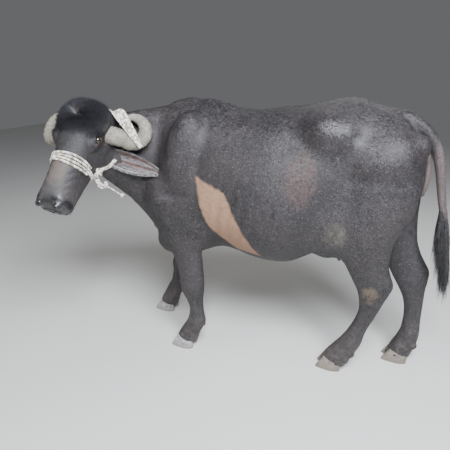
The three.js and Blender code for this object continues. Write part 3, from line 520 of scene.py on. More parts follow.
def face(p, d):
    """Brow, cheek, lids, nostrils and mouth, worked in the head's frame."""
    local = to_head(p)
    a, n, s = local.T
    for side in (-1, 1):
        for (at, radii), k in ((ORBIT, 26), (MASSETER, 50)):
            d = smooth_min(d, ball(local, (at[0], at[1], at[2] * side), radii), k)
        u, v, rise = eye_axes(local, side)
        far = np.sqrt(u * u + v * v + rise * rise)
        turn = np.arctan2(v, u)
        flat = np.hypot(u / 1.3, v - 1.0)
        # the rim of the lids, thicker above, and the slit between them
        lid = np.hypot(flat - 14.5, rise - 18.5 + 0.010 * u**2) - (4.4 + 1.8 * np.sin(turn))
        d = smooth_min(d, lid, 8)
        d = smooth_max(d, -(far - EYE["radius"] - 0.6), 1.5)
        slit = np.hypot(u / 1.45, v) - 12.0
        d = smooth_max(d, -np.maximum(slit, 4 - rise), 3)
        front_corner = np.hypot(u - 25, v + 3) - 4
        d = smooth_max(d, -np.maximum(front_corner, 12 - rise), 3)
        for reach, deep in ((26, 3.6), (34, 3.2), (43, 2.4)):
            fold = crease(flat - reach, 3.0) * np.clip(rise / 10 + 0.4, 0, 1) * (far < 70)
            d = d + deep * fold * (0.35 + 0.65 * np.clip(-np.sin(turn), 0, 1))
        hole = local - np.array([NOSTRIL_AT[0], NOSTRIL_AT[1], NOSTRIL_AT[2] * side])
        c, t = math.cos(0.6), math.sin(0.6) * side
        tilted = hole[:, 0] * 0.86 + hole[:, 1] * 0.5, hole[:, 1] * 0.86 - hole[:, 0] * 0.5
        u = np.stack([*tilted, hole[:, 2]], axis=1)
        u = np.stack([u[:, 0], u[:, 1] * c + u[:, 2] * t, -u[:, 1] * t + u[:, 2] * c], axis=1)
        rim = (np.linalg.norm(u / (30, 19, 20), axis=1) - 1) * 19
        pit = (np.linalg.norm(u / (23, 10, 13), axis=1) - 1) * 10
        d = smooth_min(d, rim, 12)
        d = smooth_max(d, -pit, 5)
    # the mouth: a groove that rises to its corner and runs round under the nose
    lip = n + 122 + 13 * np.clip((470 - a) / 80, 0, 1) ** 2 * -1
    mouth = crease(lip, 3.2) * np.clip((a - 400) / 14, 0, 1)
    d = d + 6.5 * mouth
    d = d - 3.0 * crease(lip - 12, 9) * np.clip((a - 420) / 40, 0, 1)
    # the groove between the nostrils, and wrinkles over the nose and under the eye
    d = d + 3.0 * crease(s, 3.0) * np.clip((a - 505) / 12, 0, 1) * np.clip((n + 118) / 20, 0, 1)
    nose_fold = np.clip((a - 300) / 60, 0, 1) * np.clip((470 - a) / 40, 0, 1) * crease(n + 40, 50)
    d = d + 1.3 * nose_fold * np.sin(a / 7 + 0.02 * s**2 / 9)
    return d


def within(p, low, high):
    return np.all((p > np.array(low)) & (p < np.array(high)), axis=1)


def melt(total, p, low, high, field, k):
    """Joins one field into the total, worked out only where it can reach."""
    mask = within(p, np.array(low) - 90, np.array(high) + 90)
    if mask.any():
        total[mask] = smooth_min(total[mask], field(p[mask]), k)
    return total


def flesh(p):
    d = np.full(len(p), 400.0)
    d = melt(d, p, (-640, -340, 490), (722, 340, 1385), trunk_field, 1)
    d = melt(d, p, (-960, -330, 500), (-400, 160, 1345), neck_field, 70)
    for at, radii, tilt, k in PAIRED:
        for side in (-1, 1):
            place = (at[0], at[1] * side, at[2])
            reach = max(radii)
            low, high = np.array(place) - reach, np.array(place) + reach
            d = melt(d, p, low, high, lambda q, c=place, r=radii, t=tilt: ball(q, c, r, t), k)
    for at, radii, tilt, k in MIDDLE:
        low, high = np.array(at) - max(radii), np.array(at) + max(radii)
        d = melt(d, p, low, high, lambda q, c=at, r=radii, t=tilt: ball(q, c, r, t), k)
    for table in LEGS.values():
        low = (table[:, 1].min(), (table[:, 3] - table[:, 4]).min(), 40)
        high = (table[:, 2].max(), (table[:, 3] + table[:, 4]).max(), table[:, 0].max())
        d = melt(d, p, low, high, lambda q, t=table: leg_field(q, t), 55)
        ankle = table[table[:, 0] < 130][0]
        for side in (-1, 1):
            at = (ankle[2] - 8, ankle[3] + side * 25, ankle[0] + 10)
            low, high = np.array(at) - 25, np.array(at) + 25
            d = melt(d, p, low, high, lambda q, c=at: ball(q, c, (16, 15, 20), 35), 14)
    for x, y in TEATS:
        low, high = (x - 14, y - 14, 575), (x + 14, y + 14, 640)
        d = melt(d, p, low, high, lambda q, a=x, b=y: ball(q, (a, b, 612), (14, 14, 40)), 14)
    d = melt(d, p, (550, -40, 650), (880, 40, 1340), tail_field, 16)
    head_zone = np.abs(to_head(p) - np.array([240, -100, 0])).max(axis=1) < 420
    if head_zone.any():
        d[head_zone] = smooth_min(d[head_zone], skull_field(p[head_zone]), 45)
    d = d - relief(p) + COAT_DEPTH
    a, n, s = to_head(p).T
    zone = (a > -60) & (a < 620) & (np.abs(n + 100) < 260) & (np.abs(s) < 240)
    if zone.any():
        d[zone] = face(p[zone], d[zone])
    return d


# %% [markdown]
# ## The skin
# The field is sampled on a grid, polygonised once, and its points are pulled exactly onto the skin. The
# head is divided finer than the body, because lids, lips and nostrils are only a few millimetres across.

# %% Polygonise and refine
CELL = 10.0


def sample_field():
    low = np.array([-1000.0, -720.0, 36.0])
    high = np.array([900.0, 360.0, 1400.0])
    counts = np.ceil((high - low) / CELL).astype(int)
    values = np.empty(tuple(counts), np.float32)
    ys, zs = (low[axis] + CELL * np.arange(counts[axis]) for axis in (1, 2))
    ys, zs = np.meshgrid(ys, zs, indexing="ij")
    slab = 12
    for start in range(0, counts[0], slab):
        xs = low[0] + CELL * np.arange(start, min(start + slab, counts[0]))
        points = np.stack(np.broadcast_arrays(xs[:, None, None], ys[None], zs[None]), axis=-1).reshape(-1, 3)
        values[start : start + len(xs)] = flesh(points).reshape(len(xs), *ys.shape)
    return low, values


def pull(points, rounds):
    """Newton steps onto the zero of the field."""
    step = 0.8
    for _ in range(rounds):
        d = flesh(points)
        slope = np.stack([(flesh(points + step * axis) - d) / step for axis in np.eye(3)], axis=1)
        size = np.maximum(np.sum(slope * slope, axis=1), 0.25)
        move = np.clip(d / size, -4, 4)[:, None] * slope
        points = points - move
    return points


def split_faces(mesh_object, chooser):
    shape = bmesh.new()
    shape.from_mesh(mesh_object.data)
    chosen = {edge for face_ in shape.faces if chooser(face_.calc_center_median()) for edge in face_.edges}
    bmesh.ops.subdivide_edges(shape, edges=list(chosen), cuts=1, use_grid_fill=True)
    shape.to_mesh(mesh_object.data)
    shape.free()


def new_object(name, vertices, faces):
    mesh = bpy.data.meshes.new(name)
    mesh.from_pydata([tuple(v) for v in vertices], [], [tuple(int(i) for i in f) for f in faces])
    mesh.validate()
    mesh.polygons.foreach_set("use_smooth", [True] * len(mesh.polygons))
    thing = bpy.data.objects.new(name, mesh)
    scene.collection.objects.link(thing)
    return thing


def mesh_points(thing):
    flat = np.empty(len(thing.data.vertices) * 3)
    thing.data.vertices.foreach_get("co", flat)
    return flat.reshape(-1, 3)


def set_points(thing, points):
    thing.data.vertices.foreach_set("co", points.reshape(-1))
    thing.data.update()


low_corner, field_values = sample_field()
grid = openvdb.FloatGrid(400.0)
grid.copyFromArray(field_values)
grid_points, grid_quads = grid.convertToQuads(0.0)
skin = new_object("skin", pull(grid_points * CELL + low_corner, 2), grid_quads)


def on_face(centre):
    a, n, s = to_head(np.array([centre]))[0]
    return a > 60 and abs(s) < 160 and n < 60


def on_features(centre):
    a, n, s = to_head(np.array([centre]))[0]
    eye = abs(a - EYE["at"][0]) < 46 and abs(n - EYE["at"][1]) < 40 and abs(s) > 85
    return eye or a > 455


split_faces(skin, on_face)
split_faces(skin, on_features)
set_points(skin, in_model(pull(mesh_points(skin), 3)))
bm = bmesh.new()
bm.from_mesh(skin.data)
bmesh.ops.recalc_face_normals(bm, faces=bm.faces)
bm.to_mesh(skin.data)
bm.free()
skin.data.polygons.foreach_set("use_smooth", [True] * len(skin.data.polygons))
print("skin faces", len(skin.data.polygons))

# %% [markdown]
# ## Swept pieces
# Horns, ears, hooves and tubes are all rings of points joined one after another. Only the rings differ.

# %% Rings to a closed mesh
def skin_rings(rings):
    count = len(rings[0])
    vertices = [point for ring in rings for point in ring]
    faces = []
    for r in range(len(rings) - 1):
        for i in range(count):
            j = (i + 1) % count
            faces.append((r * count + i, r * count + j, (r + 1) * count + j, (r + 1) * count + i))
    for ring_index, flip in ((0, True), (len(rings) - 1, False)):
        vertices.append(np.mean(rings[ring_index], axis=0))
        for i in range(count):
            a, b = ring_index * count + i, ring_index * count + (i + 1) % count
            faces.append((b, a, len(vertices) - 1) if flip else (a, b, len(vertices) - 1))
    return vertices, faces


def finish_shell(thing):
    """Merges doubles and points the faces outwards."""
    shape = bmesh.new()
    shape.from_mesh(thing.data)
    bmesh.ops.remove_doubles(shape, verts=shape.verts, dist=1e-6)
    bmesh.ops.recalc_face_normals(shape, faces=shape.faces)
    shape.to_mesh(thing.data)
    shape.free()
    thing.data.polygons.foreach_set("use_smooth", [True] * len(thing.data.polygons))
    return thing


def unit(vector):
    return vector / np.linalg.norm(vector)


# %% Horns
HORN = {
    "base": np.array([84, -92, 90.0]),
    "out": np.array([-0.28, -0.36, 0.89]), "up": np.array([-0.91, 0.35, -0.21]),
    "centre": (146, 31), "droop": {1: 0.0, -1: 20.0}, "radius": 64, "start": -128, "end": 178, "rise": 26,
    "half": (46, 43, 40, 38, 36, 33, 28, 21, 14, 9, 4),
}


def horn_rings(side):
    steps, sides = 170, 40
    face_way = unit(np.cross(HORN["up"], HORN["out"]))
    route = [HORN["base"]]
    for t in np.linspace(0, 1, 21):
        turn = math.radians(HORN["start"] + (HORN["end"] - HORN["start"]) * t)
        along = HORN["centre"][0] + HORN["radius"] * math.cos(turn)
        lift = HORN["centre"][1] + HORN["radius"] * math.sin(turn)
        c, s = math.cos(math.radians(HORN["droop"][side])), math.sin(math.radians(HORN["droop"][side]))
        along, lift = along * c + lift * s, lift * c - along * s
        flat = HORN["base"] + HORN["out"] * along + HORN["up"] * lift
        route.append(flat - face_way * HORN["rise"] * t * t)
    route = np.array(route)
    fine = np.linspace(0, len(route) - 1, steps)
    table = np.column_stack([np.arange(len(route)), route])
    points = np.stack([follow(table, c, fine) for c in (1, 2, 3)], axis=1)
    halves = np.interp(fine / (len(route) - 1) * 10, np.arange(11), HORN["half"])
    run = np.concatenate([[0], np.cumsum(np.linalg.norm(np.diff(points, axis=0), axis=1))])
    rings = []
    for i, point in enumerate(points):
        way = unit(points[min(i + 1, steps - 1)] - points[max(i - 1, 0)])
        across = unit(np.cross(way, face_way))
        up_way = np.cross(across, way)
        ring = []
        for j in range(sides):
            angle = 2 * math.pi * j / sides
            ridge = math.sin(run[i] / 8.5 * 2 * math.pi + 0.7 * math.sin(3 * angle)) * 0.9
            coarse = math.sin(run[i] / 27 * 2 * math.pi + 1.3 * math.sin(angle)) * 0.9
            half = halves[i] - 0.6 + (ridge + coarse) * min(1.0, halves[i] / 26)
            ring.append(point + across * half * math.cos(angle) + up_way * half * 0.8 * math.sin(angle))
        rings.append(in_model(from_head(np.array(ring) * (1, 1, side))))
    return rings


horns = {}
for label, side in (("left", 1), ("right", -1)):
    horns[label] = finish_shell(new_object(f"curled_horn_{label}", *skin_rings(horn_rings(side))))

# %% Ears
EAR = {
    "root": np.array([146, -196, 88.0]), "low": np.array([0.8, -0.6, 0.05]),
    "along": {1: np.array([14, -66, 246.0]), -1: np.array([-34, -200, 142.0])},
    "half": 50.0, "length": 300.0, "cup": 26.0, "thick": 7.0,
}
EAR_ACROSS = np.linspace(-1, 1, 21)


def ear_frame(side):
    along = unit(EAR["along"][side])
    low = unit(EAR["low"] - along * (EAR["low"] @ along))
    opening = unit(np.cross(low, along))
    return along, low, opening if opening[1] > 0 else -opening


def ear_point(side, t, u, inside):
    """A place on an ear: t from root to tip, u from the upper edge to the lower edge."""
    along, low, opening = ear_frame(side)
    t_here = max(t, 0.0)
    half = EAR["half"] * math.sin(math.pi * (0.17 + 0.81 * t_here**0.85)) ** 0.75
    half *= 1.0 if t < 0.9 else math.sqrt(max(1 - ((t - 0.9) / 0.1) ** 2, 0.0)) * 0.9 + 0.1
    cup = EAR["cup"] * (1.15 - 0.8 * t_here)
    thick = EAR["thick"] * (1.5 - t_here) * (1 - 0.7 * u * u)
    ribs = 3.4 * math.cos(u * 6.5 + 2.5 * t_here) * (1 - u * u) * math.sin(math.pi * min(1, t_here * 1.1))
    depth = cup * (u * u - 0.5) + (ribs if inside else -thick)
    wave = 3.0 * math.sin(t_here * 9 + u * 2) * u * u
    middle = EAR["root"] + along * EAR["length"] * t - opening * 14 * t_here * t_here
    return middle + low * half * u + opening * (depth + wave)


def ear_leaf(label, side):
    """An ear, which also carries where each point lies on it, for its colours."""
    rings, marks = [], []
    for t in np.linspace(-0.06, 1, 60):
        rows = [(u, True) for u in EAR_ACROSS] + [(u, False) for u in EAR_ACROSS[::-1]]
        row = np.array([ear_point(side, t, u, inside) for u, inside in rows])
        rings.append(in_model(from_head(row * (1, 1, side))))
        marks += [(u, max(t, 0.0), float(inside)) for u, inside in rows]
    marks += [(0.0, 0.0, 0.0), (0.0, 1.0, 0.0)]
    thing = new_object(f"ear_leaf_{label}", *skin_rings(rings))
    for column, name in enumerate(("ear_across", "ear_along", "ear_inside")):
        layer = thing.data.attributes.new(name, "FLOAT", "POINT")
        layer.data.foreach_set("value", [mark[column] for mark in marks])
    return finish_shell(thing)


ears = {label: ear_leaf(label, side) for label, side in (("left", 1), ("right", -1))}

# %% Eyes
eyes = {}
for label, side in (("left", 1), ("right", -1)):
    ball_mesh = bmesh.new()
    bmesh.ops.create_uvsphere(ball_mesh, u_segments=64, v_segments=40, radius=1.0)
    centre = from_head(np.array(EYE["at"]) * (1, 1, side))
    look = unit(from_head(np.array(EYE["look"]) * (1, 1, side)) - HEAD_AT)
    for vertex in ball_mesh.verts:
        way = unit(np.array(vertex.co))
        cornea = 1.2 * max(0.0, (way @ look) - 0.8) / 0.2
        vertex.co = Vector(in_model(centre + way * (EYE["radius"] - 1.2 + cornea)))
    mesh = bpy.data.meshes.new(f"eyeball_{label}")
    ball_mesh.to_mesh(mesh)
    ball_mesh.free()
    eyes[label] = bpy.data.objects.new(f"eyeball_{label}", mesh)
    scene.collection.objects.link(eyes[label])
    finish_shell(eyes[label])

# %% Hooves
HOOF = {"length": 132.0, "half": 27.0, "apart": 31.0, "toe": 82.0, "heel": 46.0}


def claw_rings(toe, middle_y, side):
    rings = []
    for level in np.concatenate([[0, 0, 1.5], np.linspace(4, 92, 34)]):
        front = toe + level * 0.62
        heel = toe + HOOF["length"] - level * 0.06
        inset = 0.94 if level == 0 else 0.985 if level < 2 else 1.0
        growth = 0.5 * math.sin(level * 0.62 + 0.5 * math.sin(level * 0.21))
        ring = []
        for i in range(48):
            angle = 2 * math.pi * (i + 0.5) / 48
            forward, across = math.cos(angle), math.sin(angle)
            width = HOOF["half"] * (1 - 0.0006 * level) * abs(across) ** 0.8
            width *= 0.9 + 0.28 * forward if forward < 0 else 1.0
            width *= 0.86 if np.sign(across) != side else 1.0
            deep = (heel - front) / 2
            x = (front + heel) / 2 + (deep + growth) * math.copysign(abs(forward) ** 0.85, forward) * inset
            slope = HOOF["toe"] + (HOOF["heel"] - HOOF["toe"]) * (x - toe) / HOOF["length"]
            z = min(level, slope - 0.4)
            if level == 0 and len(rings) == 0:
                x, width = (x + (front + heel) / 2) / 2, width * 0.5
            y = middle_y + side * HOOF["apart"] + math.copysign((width + growth) * inset, across)
            ring.append((x, y, z))
        rings.append(in_model(ring))
    return rings


hooves = {}
for name, (toe, middle_y) in FEET.items():
    outer = -1 if middle_y < 0 else 1
    for claw, side in (("outer", outer), ("inner", -outer)):
        key = f"{name}_{claw}"
        hooves[key] = finish_shell(new_object(f"claw_{key}", *skin_rings(claw_rings(toe, middle_y, side))))
print("horns, ears, eyes and claws made")

# %% [markdown]
# ## The halter
# The halter is twisted cotton rope. A Geometry Nodes tree sweeps three strands along a path and turns them
# as it goes, so one tree makes every strand of the noseband, the cheek ropes and the knots, from a few
# named sizes.

# %% Twisted rope as a node tree
def rope_tree(material):
    tree = bpy.data.node_groups.new("twisted_rope", "GeometryNodeTree")
    face_ = tree.interface
    face_.new_socket("Geometry", in_out="INPUT", socket_type="NodeSocketGeometry")
    for name, value in (("Radius", 0.006), ("Turns per metre", 34.0), ("Step", 0.0022)):
        face_.new_socket(name, in_out="INPUT", socket_type="NodeSocketFloat").default_value = value
    face_.new_socket("Geometry", in_out="OUTPUT", socket_type="NodeSocketGeometry")
    add, link = tree.nodes.new, tree.links.new
    entry, leave = add("NodeGroupInput"), add("NodeGroupOutput")
    even = add("GeometryNodeResampleCurve")
    even.mode = "LENGTH"
    link(entry.outputs["Geometry"], even.inputs["Curve"])
    link(entry.outputs["Step"], even.inputs["Length"])
    run = Sock(tree, add("GeometryNodeSplineParameter").outputs["Length"])
    radius, turns = (Sock(tree, entry.outputs[name]) for name in ("Radius", "Turns per metre"))
    tilt = add("GeometryNodeSetCurveTilt")
    link(even.outputs[0], tilt.inputs["Curve"])
    link((run * turns * (2 * math.pi)).socket, tilt.inputs["Tilt"])
    strands = add("GeometryNodeJoinGeometry")
    for k in range(3):
        ring = add("GeometryNodeCurvePrimitiveCircle")
        ring.inputs["Resolution"].default_value = 9
        link((radius * 0.54).socket, ring.inputs["Radius"])
        way = add("ShaderNodeVectorMath")
        way.operation = "SCALE"
        way.inputs[0].default_value = (math.cos(2.094 * k), math.sin(2.094 * k), 0.0)
        link((radius * 0.5).socket, way.inputs["Scale"])
        move = add("GeometryNodeTransform")
        link(ring.outputs[0], move.inputs["Geometry"])
        link(way.outputs[0], move.inputs["Translation"])
        link(move.outputs[0], strands.inputs[0])
    sweep = add("GeometryNodeCurveToMesh")
    sweep.inputs["Fill Caps"].default_value = True
    link(tilt.outputs[0], sweep.inputs["Curve"])
    link(strands.outputs[0], sweep.inputs["Profile Curve"])
    whole = add("GeometryNodeRealizeInstances")
    link(sweep.outputs[0], whole.inputs[0])
    coat = add("GeometryNodeSetMaterial")
    coat.inputs["Material"].default_value = material
    link(whole.outputs[0], coat.inputs["Geometry"])
    link(coat.outputs[0], leave.inputs[0])
    return tree


def rope_piece(name, routes, tree, radius=0.006, turns=34.0):
    """One mesh of twisted rope along several routes in the model's frame, each a list of points."""
    data = bpy.data.curves.new(name + "_route", "CURVE")
    data.dimensions = "3D"
    for route in routes:
        spline = data.splines.new("NURBS")
        spline.points.add(len(route) - 1)
        for point, place_ in zip(spline.points, route):
            point.co = (*place_, 1.0)
        spline.use_endpoint_u = True
        spline.order_u = 4
    path = bpy.data.objects.new(name + "_route", data)
    scene.collection.objects.link(path)
    modifier = path.modifiers.new("rope", "NODES")
    modifier.node_group = tree
    for item in tree.interface.items_tree:
        if item.in_out == "INPUT" and item.name == "Radius":
            modifier[item.identifier] = radius
        if item.in_out == "INPUT" and item.name == "Turns per metre":
            modifier[item.identifier] = turns
    depsgraph = bpy.context.evaluated_depsgraph_get()
    mesh = bpy.data.meshes.new_from_object(path.evaluated_get(depsgraph))
    thing = bpy.data.objects.new(name, mesh)
    scene.collection.objects.link(thing)
    bpy.data.objects.remove(path)
    mesh.polygons.foreach_set("use_smooth", [True] * len(mesh.polygons))
    print(name, "faces", len(mesh.polygons))
    return thing


def head_field(local):
    """The skin's field at a place in the head's frame."""
    return flesh(from_head(np.atleast_2d(local)))


def lay_on_head(local, lift):
    """A place in the head's frame, moved until it stands `lift` millimetres above the skin."""
    point = np.array(local, float)
    for _ in range(6):
        d = head_field(point)[0]
        slope = np.array([(head_field(point + 2 * axis)[0] - d) / 2 for axis in np.eye(3)])
        point = point - slope / max(slope @ slope, 0.3) * (d - lift)
    return point


def band_route(strand, lift, start, stop, steps=26):
    """A strand of the noseband: an angle round the head from start to stop, at its own place along it."""
    route = []
    for angle in np.linspace(start, stop, steps):
        n = -95 + 105 * math.cos(angle)
        s = 105 * math.sin(angle)
        a = NOSE_TOP + strand * STRAND_PITCH - 0.05 * (n - 10)
        a += 4 * math.sin(angle * 2) * (strand - 1.5) / 1.5
        route.append(lay_on_head((a, n, s), lift))
    return route


NOSE_TOP = 266.0
STRAND_PITCH = 13.2
ROPE_HALF = 6.0


def to_metres(route):
    return in_model(from_head(np.array(route)))


# %% Finish of the rope
cotton = Finish("cotton_rope")
fibre = cotton.noise(900, 3, 0.6)
soil = cotton.noise(28, 4, 0.6)
gaps = cotton.cells(70).step(0.46, 0.62)
tone = cotton.mix(soil.step(0.35, 0.75), (0.86, 0.82, 0.74), (0.66, 0.60, 0.51))
tone = cotton.mix(gaps * 0.75, tone, (0.17, 0.13, 0.10))
rust = cotton.near(tuple(in_model((-768, -420, 1300))), (0.02, 0.035, 0.025))
cotton.feed("Base Color", cotton.mix(rust * 0.7, tone, (0.20, 0.075, 0.045)))
cotton.shader.inputs["Roughness"].default_value = 0.92
cotton.shader.inputs["Sheen Weight"].default_value = 0.3
cotton.bump(fibre, 0.0007, 0.8)
rope_nodes = rope_tree(cotton.material)

# %% Lay the ropes
BAND_LIFT = ROPE_HALF * 0.75
OVER_NOSE = 1.75  # radians from the top of the nose to where the upper strands end
UNDER_JAW = 1.72
strand_routes = [to_metres(band_route(strand, BAND_LIFT, -OVER_NOSE, OVER_NOSE)) for strand in range(4)]
under_routes = [
    to_metres(band_route(strand, BAND_LIFT, UNDER_JAW, 2 * math.pi - UNDER_JAW, 14)) for strand in (1, 2)
]
noseband = rope_piece("rope_noseband", strand_routes + under_routes, rope_nodes, ROPE_HALF * MM)


def surface_route(points, lift, steps=18):
    table = np.column_stack([np.arange(len(points)), np.array(points, float)])
    fine = np.linspace(0, len(points) - 1, steps)
    line = np.stack([follow(table, c, fine) for c in (1, 2, 3)], axis=1)
    return [lay_on_head(place_, lift) for place_ in line]


def knot_routes(centre, reach, side):
    """A rounded tangle of short loops, as an overhand knot looks."""
    loops = []
    for k, (tilt, turn) in enumerate(((0.2, 0.0), (1.1, 0.9), (2.0, 1.9))):
        loop = []
        for angle in np.linspace(0, 1.8 * math.pi, 16):
            u = np.array([math.cos(angle), math.sin(angle), 0.25 * math.sin(2 * angle)])
            u = u * reach * (1 - 0.1 * k)
            c, s = math.cos(tilt), math.sin(tilt)
            u = np.array([u[0], u[1] * c - u[2] * s, u[1] * s + u[2] * c])
            c, s = math.cos(turn), math.sin(turn)
            u = np.array([u[0] * c - u[1] * s, u[0] * s + u[1] * c, u[2] * 0.75])
            loop.append(centre + u * (1, 1, side))
        loops.append(to_metres(loop))
    return loops


KNOT = np.array([256.0, -190.0, 94.0])
cheeks = {}
for label, side in (("left", 1), ("right", -1)):
    flip = np.array([1, 1, side])
    spread = []
    for offset in (-7.0, 6.0):
        points = [
            KNOT * flip, (226, -206 + offset, 100 * side), (186, -222 + offset, 104 * side),
            (140, -236 + offset, 108 * side),
        ]
        spread.append(to_metres(surface_route(points, ROPE_HALF * 0.9)))
    knot_at = lay_on_head(KNOT * flip, 8.0)
    knots = knot_routes(knot_at, 24.0, side) + knot_routes(knot_at + (16, 4, -16 * side), 18.0, -side)
    cheeks[label] = rope_piece(f"rope_cheek_{label}", spread + knots, rope_nodes, ROPE_HALF * MM)

hang_start = lay_on_head(KNOT, 8.0) + HEAD_AXES @ np.array([-20.0, -7.0, -6.0])
head_down = HEAD_AXES @ np.array([0, 0, -1.0])
image_right = HEAD_AXES @ np.array([0.94, 0.342, 0.0])


def hang(right, down, out=0.0):
    return hang_start + image_right * right + head_down * down + np.array([0, 1, 0]) * out


drop = [hang(0, 0), hang(2, 24), hang(10, 48), hang(18, 66), hang(30, 74), hang(46, 70), hang(60, 62)]
drop_two = [hang(6, 0), hang(14, 26), hang(22, 50), hang(36, 62), hang(52, 66)]
tail_cord = [hang(52, 64), hang(70, 70), hang(92, 86), hang(112, 100), hang(128, 112), hang(140, 116)]
tie_routes = [to_metres(drop), to_metres(drop_two)] + knot_routes(hang(50, 58), 12.0, 1)
tie = rope_piece("rope_tie", tie_routes, rope_nodes, 0.0064)
end_routes = [to_metres(tail_cord)] + knot_routes(hang(132, 114), 10.0, 1)
cord_end = rope_piece("rope_end", end_routes, rope_nodes, 0.0034, 60.0)

# over the near horn in steps out along it, up and off its face; then behind the poll and down the far side
OVER_HORN = [
    (188, -62, 44, 2.0), (170, -34, 45, 4.0), (138, 16, 42, 7.0), (104, 68, 36, 10.0), (70, 122, 20, 12.0),
]
BEHIND_POLL = [
    (-30, -80, 118), (-44, -96, 96), (-56, -92, 50), (-60, -90, 0), (-56, -92, -50), (-40, -104, -96),
]
face_way = unit(np.cross(HORN["out"], HORN["up"]))
face_way = face_way if face_way[1] > 0 else -face_way
poll_routes = []
for strand in range(6):
    k = (strand - 2.5) / 2.5
    near_side = [
        HORN["base"] + HORN["out"] * (out + k * fan * 1.9)
        + HORN["up"] * (up + k * fan * 1.3) + face_way * (off - 5 * k * k)
        for out, up, off, fan in OVER_HORN
    ]
    lying = surface_route([np.array(place_) + (9 * k, 0, 0) for place_ in BEHIND_POLL], 5.0, 16)
    far_side = [np.array(place_) + (9 * k, 0, 0) for place_ in ((-10, -134, -122), (40, -176, -130))]
    poll_routes.append(to_metres(near_side + lying + far_side))
headpiece = rope_piece("rope_headpiece", poll_routes, rope_nodes, ROPE_HALF * MM)

# %% [markdown]
# ## The coat
# A river buffalo's hair is short, coarse and sparse, so over most of the body it is bump, with small flat
# tufts that break the outline on every side. It is longer and woolly on the poll, pale inside the ears, and
# black on the tail's switch. All the tufts are solid blades made by one function from roots, the way the
# hair lies and a length.

# %% Roots on the skin, and blades from them
BLADES = 3
SKIN_CHARTS = {
    "head": (0.02, 0.02, 0.30, 0.46), "body": (0.34, 0.02, 0.64, 0.94), "legs": (0.02, 0.52, 0.30, 0.44),
}


def scatter(thing, count, keep, seed):
    """Roots spread evenly over a piece, with the normals there, thinned by a density between 0 and 1."""
    picker = np.random.default_rng(seed)
    mesh = thing.data
    mesh.calc_loop_triangles()
    corners = np.empty(len(mesh.loop_triangles) * 3, int)
    mesh.loop_triangles.foreach_get("vertices", corners)
    corners = corners.reshape(-1, 3)
    points = mesh_points(thing)
    normals = np.empty(len(mesh.vertices) * 3)
    mesh.vertices.foreach_get("normal", normals)
    normals = normals.reshape(-1, 3)
    a, b, c = (points[corners[:, k]] for k in range(3))
    area = np.linalg.norm(np.cross(b - a, c - a), axis=1)
    chosen = picker.choice(len(corners), count, p=area / area.sum())
    u, v = picker.random((2, count))
    flip = u + v > 1
    u, v = np.where(flip, 1 - u, u), np.where(flip, 1 - v, v)
    weights = np.stack([1 - u - v, u, v], axis=1)[..., None]
    roots = (points[corners[chosen]] * weights).sum(axis=1)
    ways = (normals[corners[chosen]] * weights).sum(axis=1)
    ways /= np.maximum(np.linalg.norm(ways, axis=1), 1e-6)[:, None]
    kept = picker.random(count) < keep((roots - CENTRE) / MM)
    return roots[kept], ways[kept]


def skin_chart(p):
    """Where places fall on an unwrap of the skin's own shape: head, body and legs side by side."""
    a, n, s = to_head(p).T
    x, y, z = p.T
    u, v = (np.arctan2(y, z - 930) + math.pi) / (2 * math.pi), (x + 1000) / 1900
    left, low, wide, high = SKIN_CHARTS["body"]
    chart = np.stack([left + wide * u, low + high * v], axis=1)
    legs = z < 640
    which = (x > 100) * 2 + (y > 0)
    turn = np.arctan2(y - np.where(y > 0, 130, -140), x - np.where(x > 100, 600, -450))
    turn = (turn + math.pi) / (2 * math.pi)
    left, low, wide, high = SKIN_CHARTS["legs"]
    chart[legs] = np.stack([left + wide * (which + turn * 0.94) / 4, low + high * z / 640], axis=1)[legs]
    on_head = (a > -20) & (np.abs(s) < 170) & (n > -280) & (x < -700)
    left, low, wide, high = SKIN_CHARTS["head"]
    around = (np.arctan2(s, n + 100) + math.pi) / (2 * math.pi)
    chart[on_head] = np.stack([left + wide * around, low + high * (a + 20) / 560], axis=1)[on_head]
    return chart


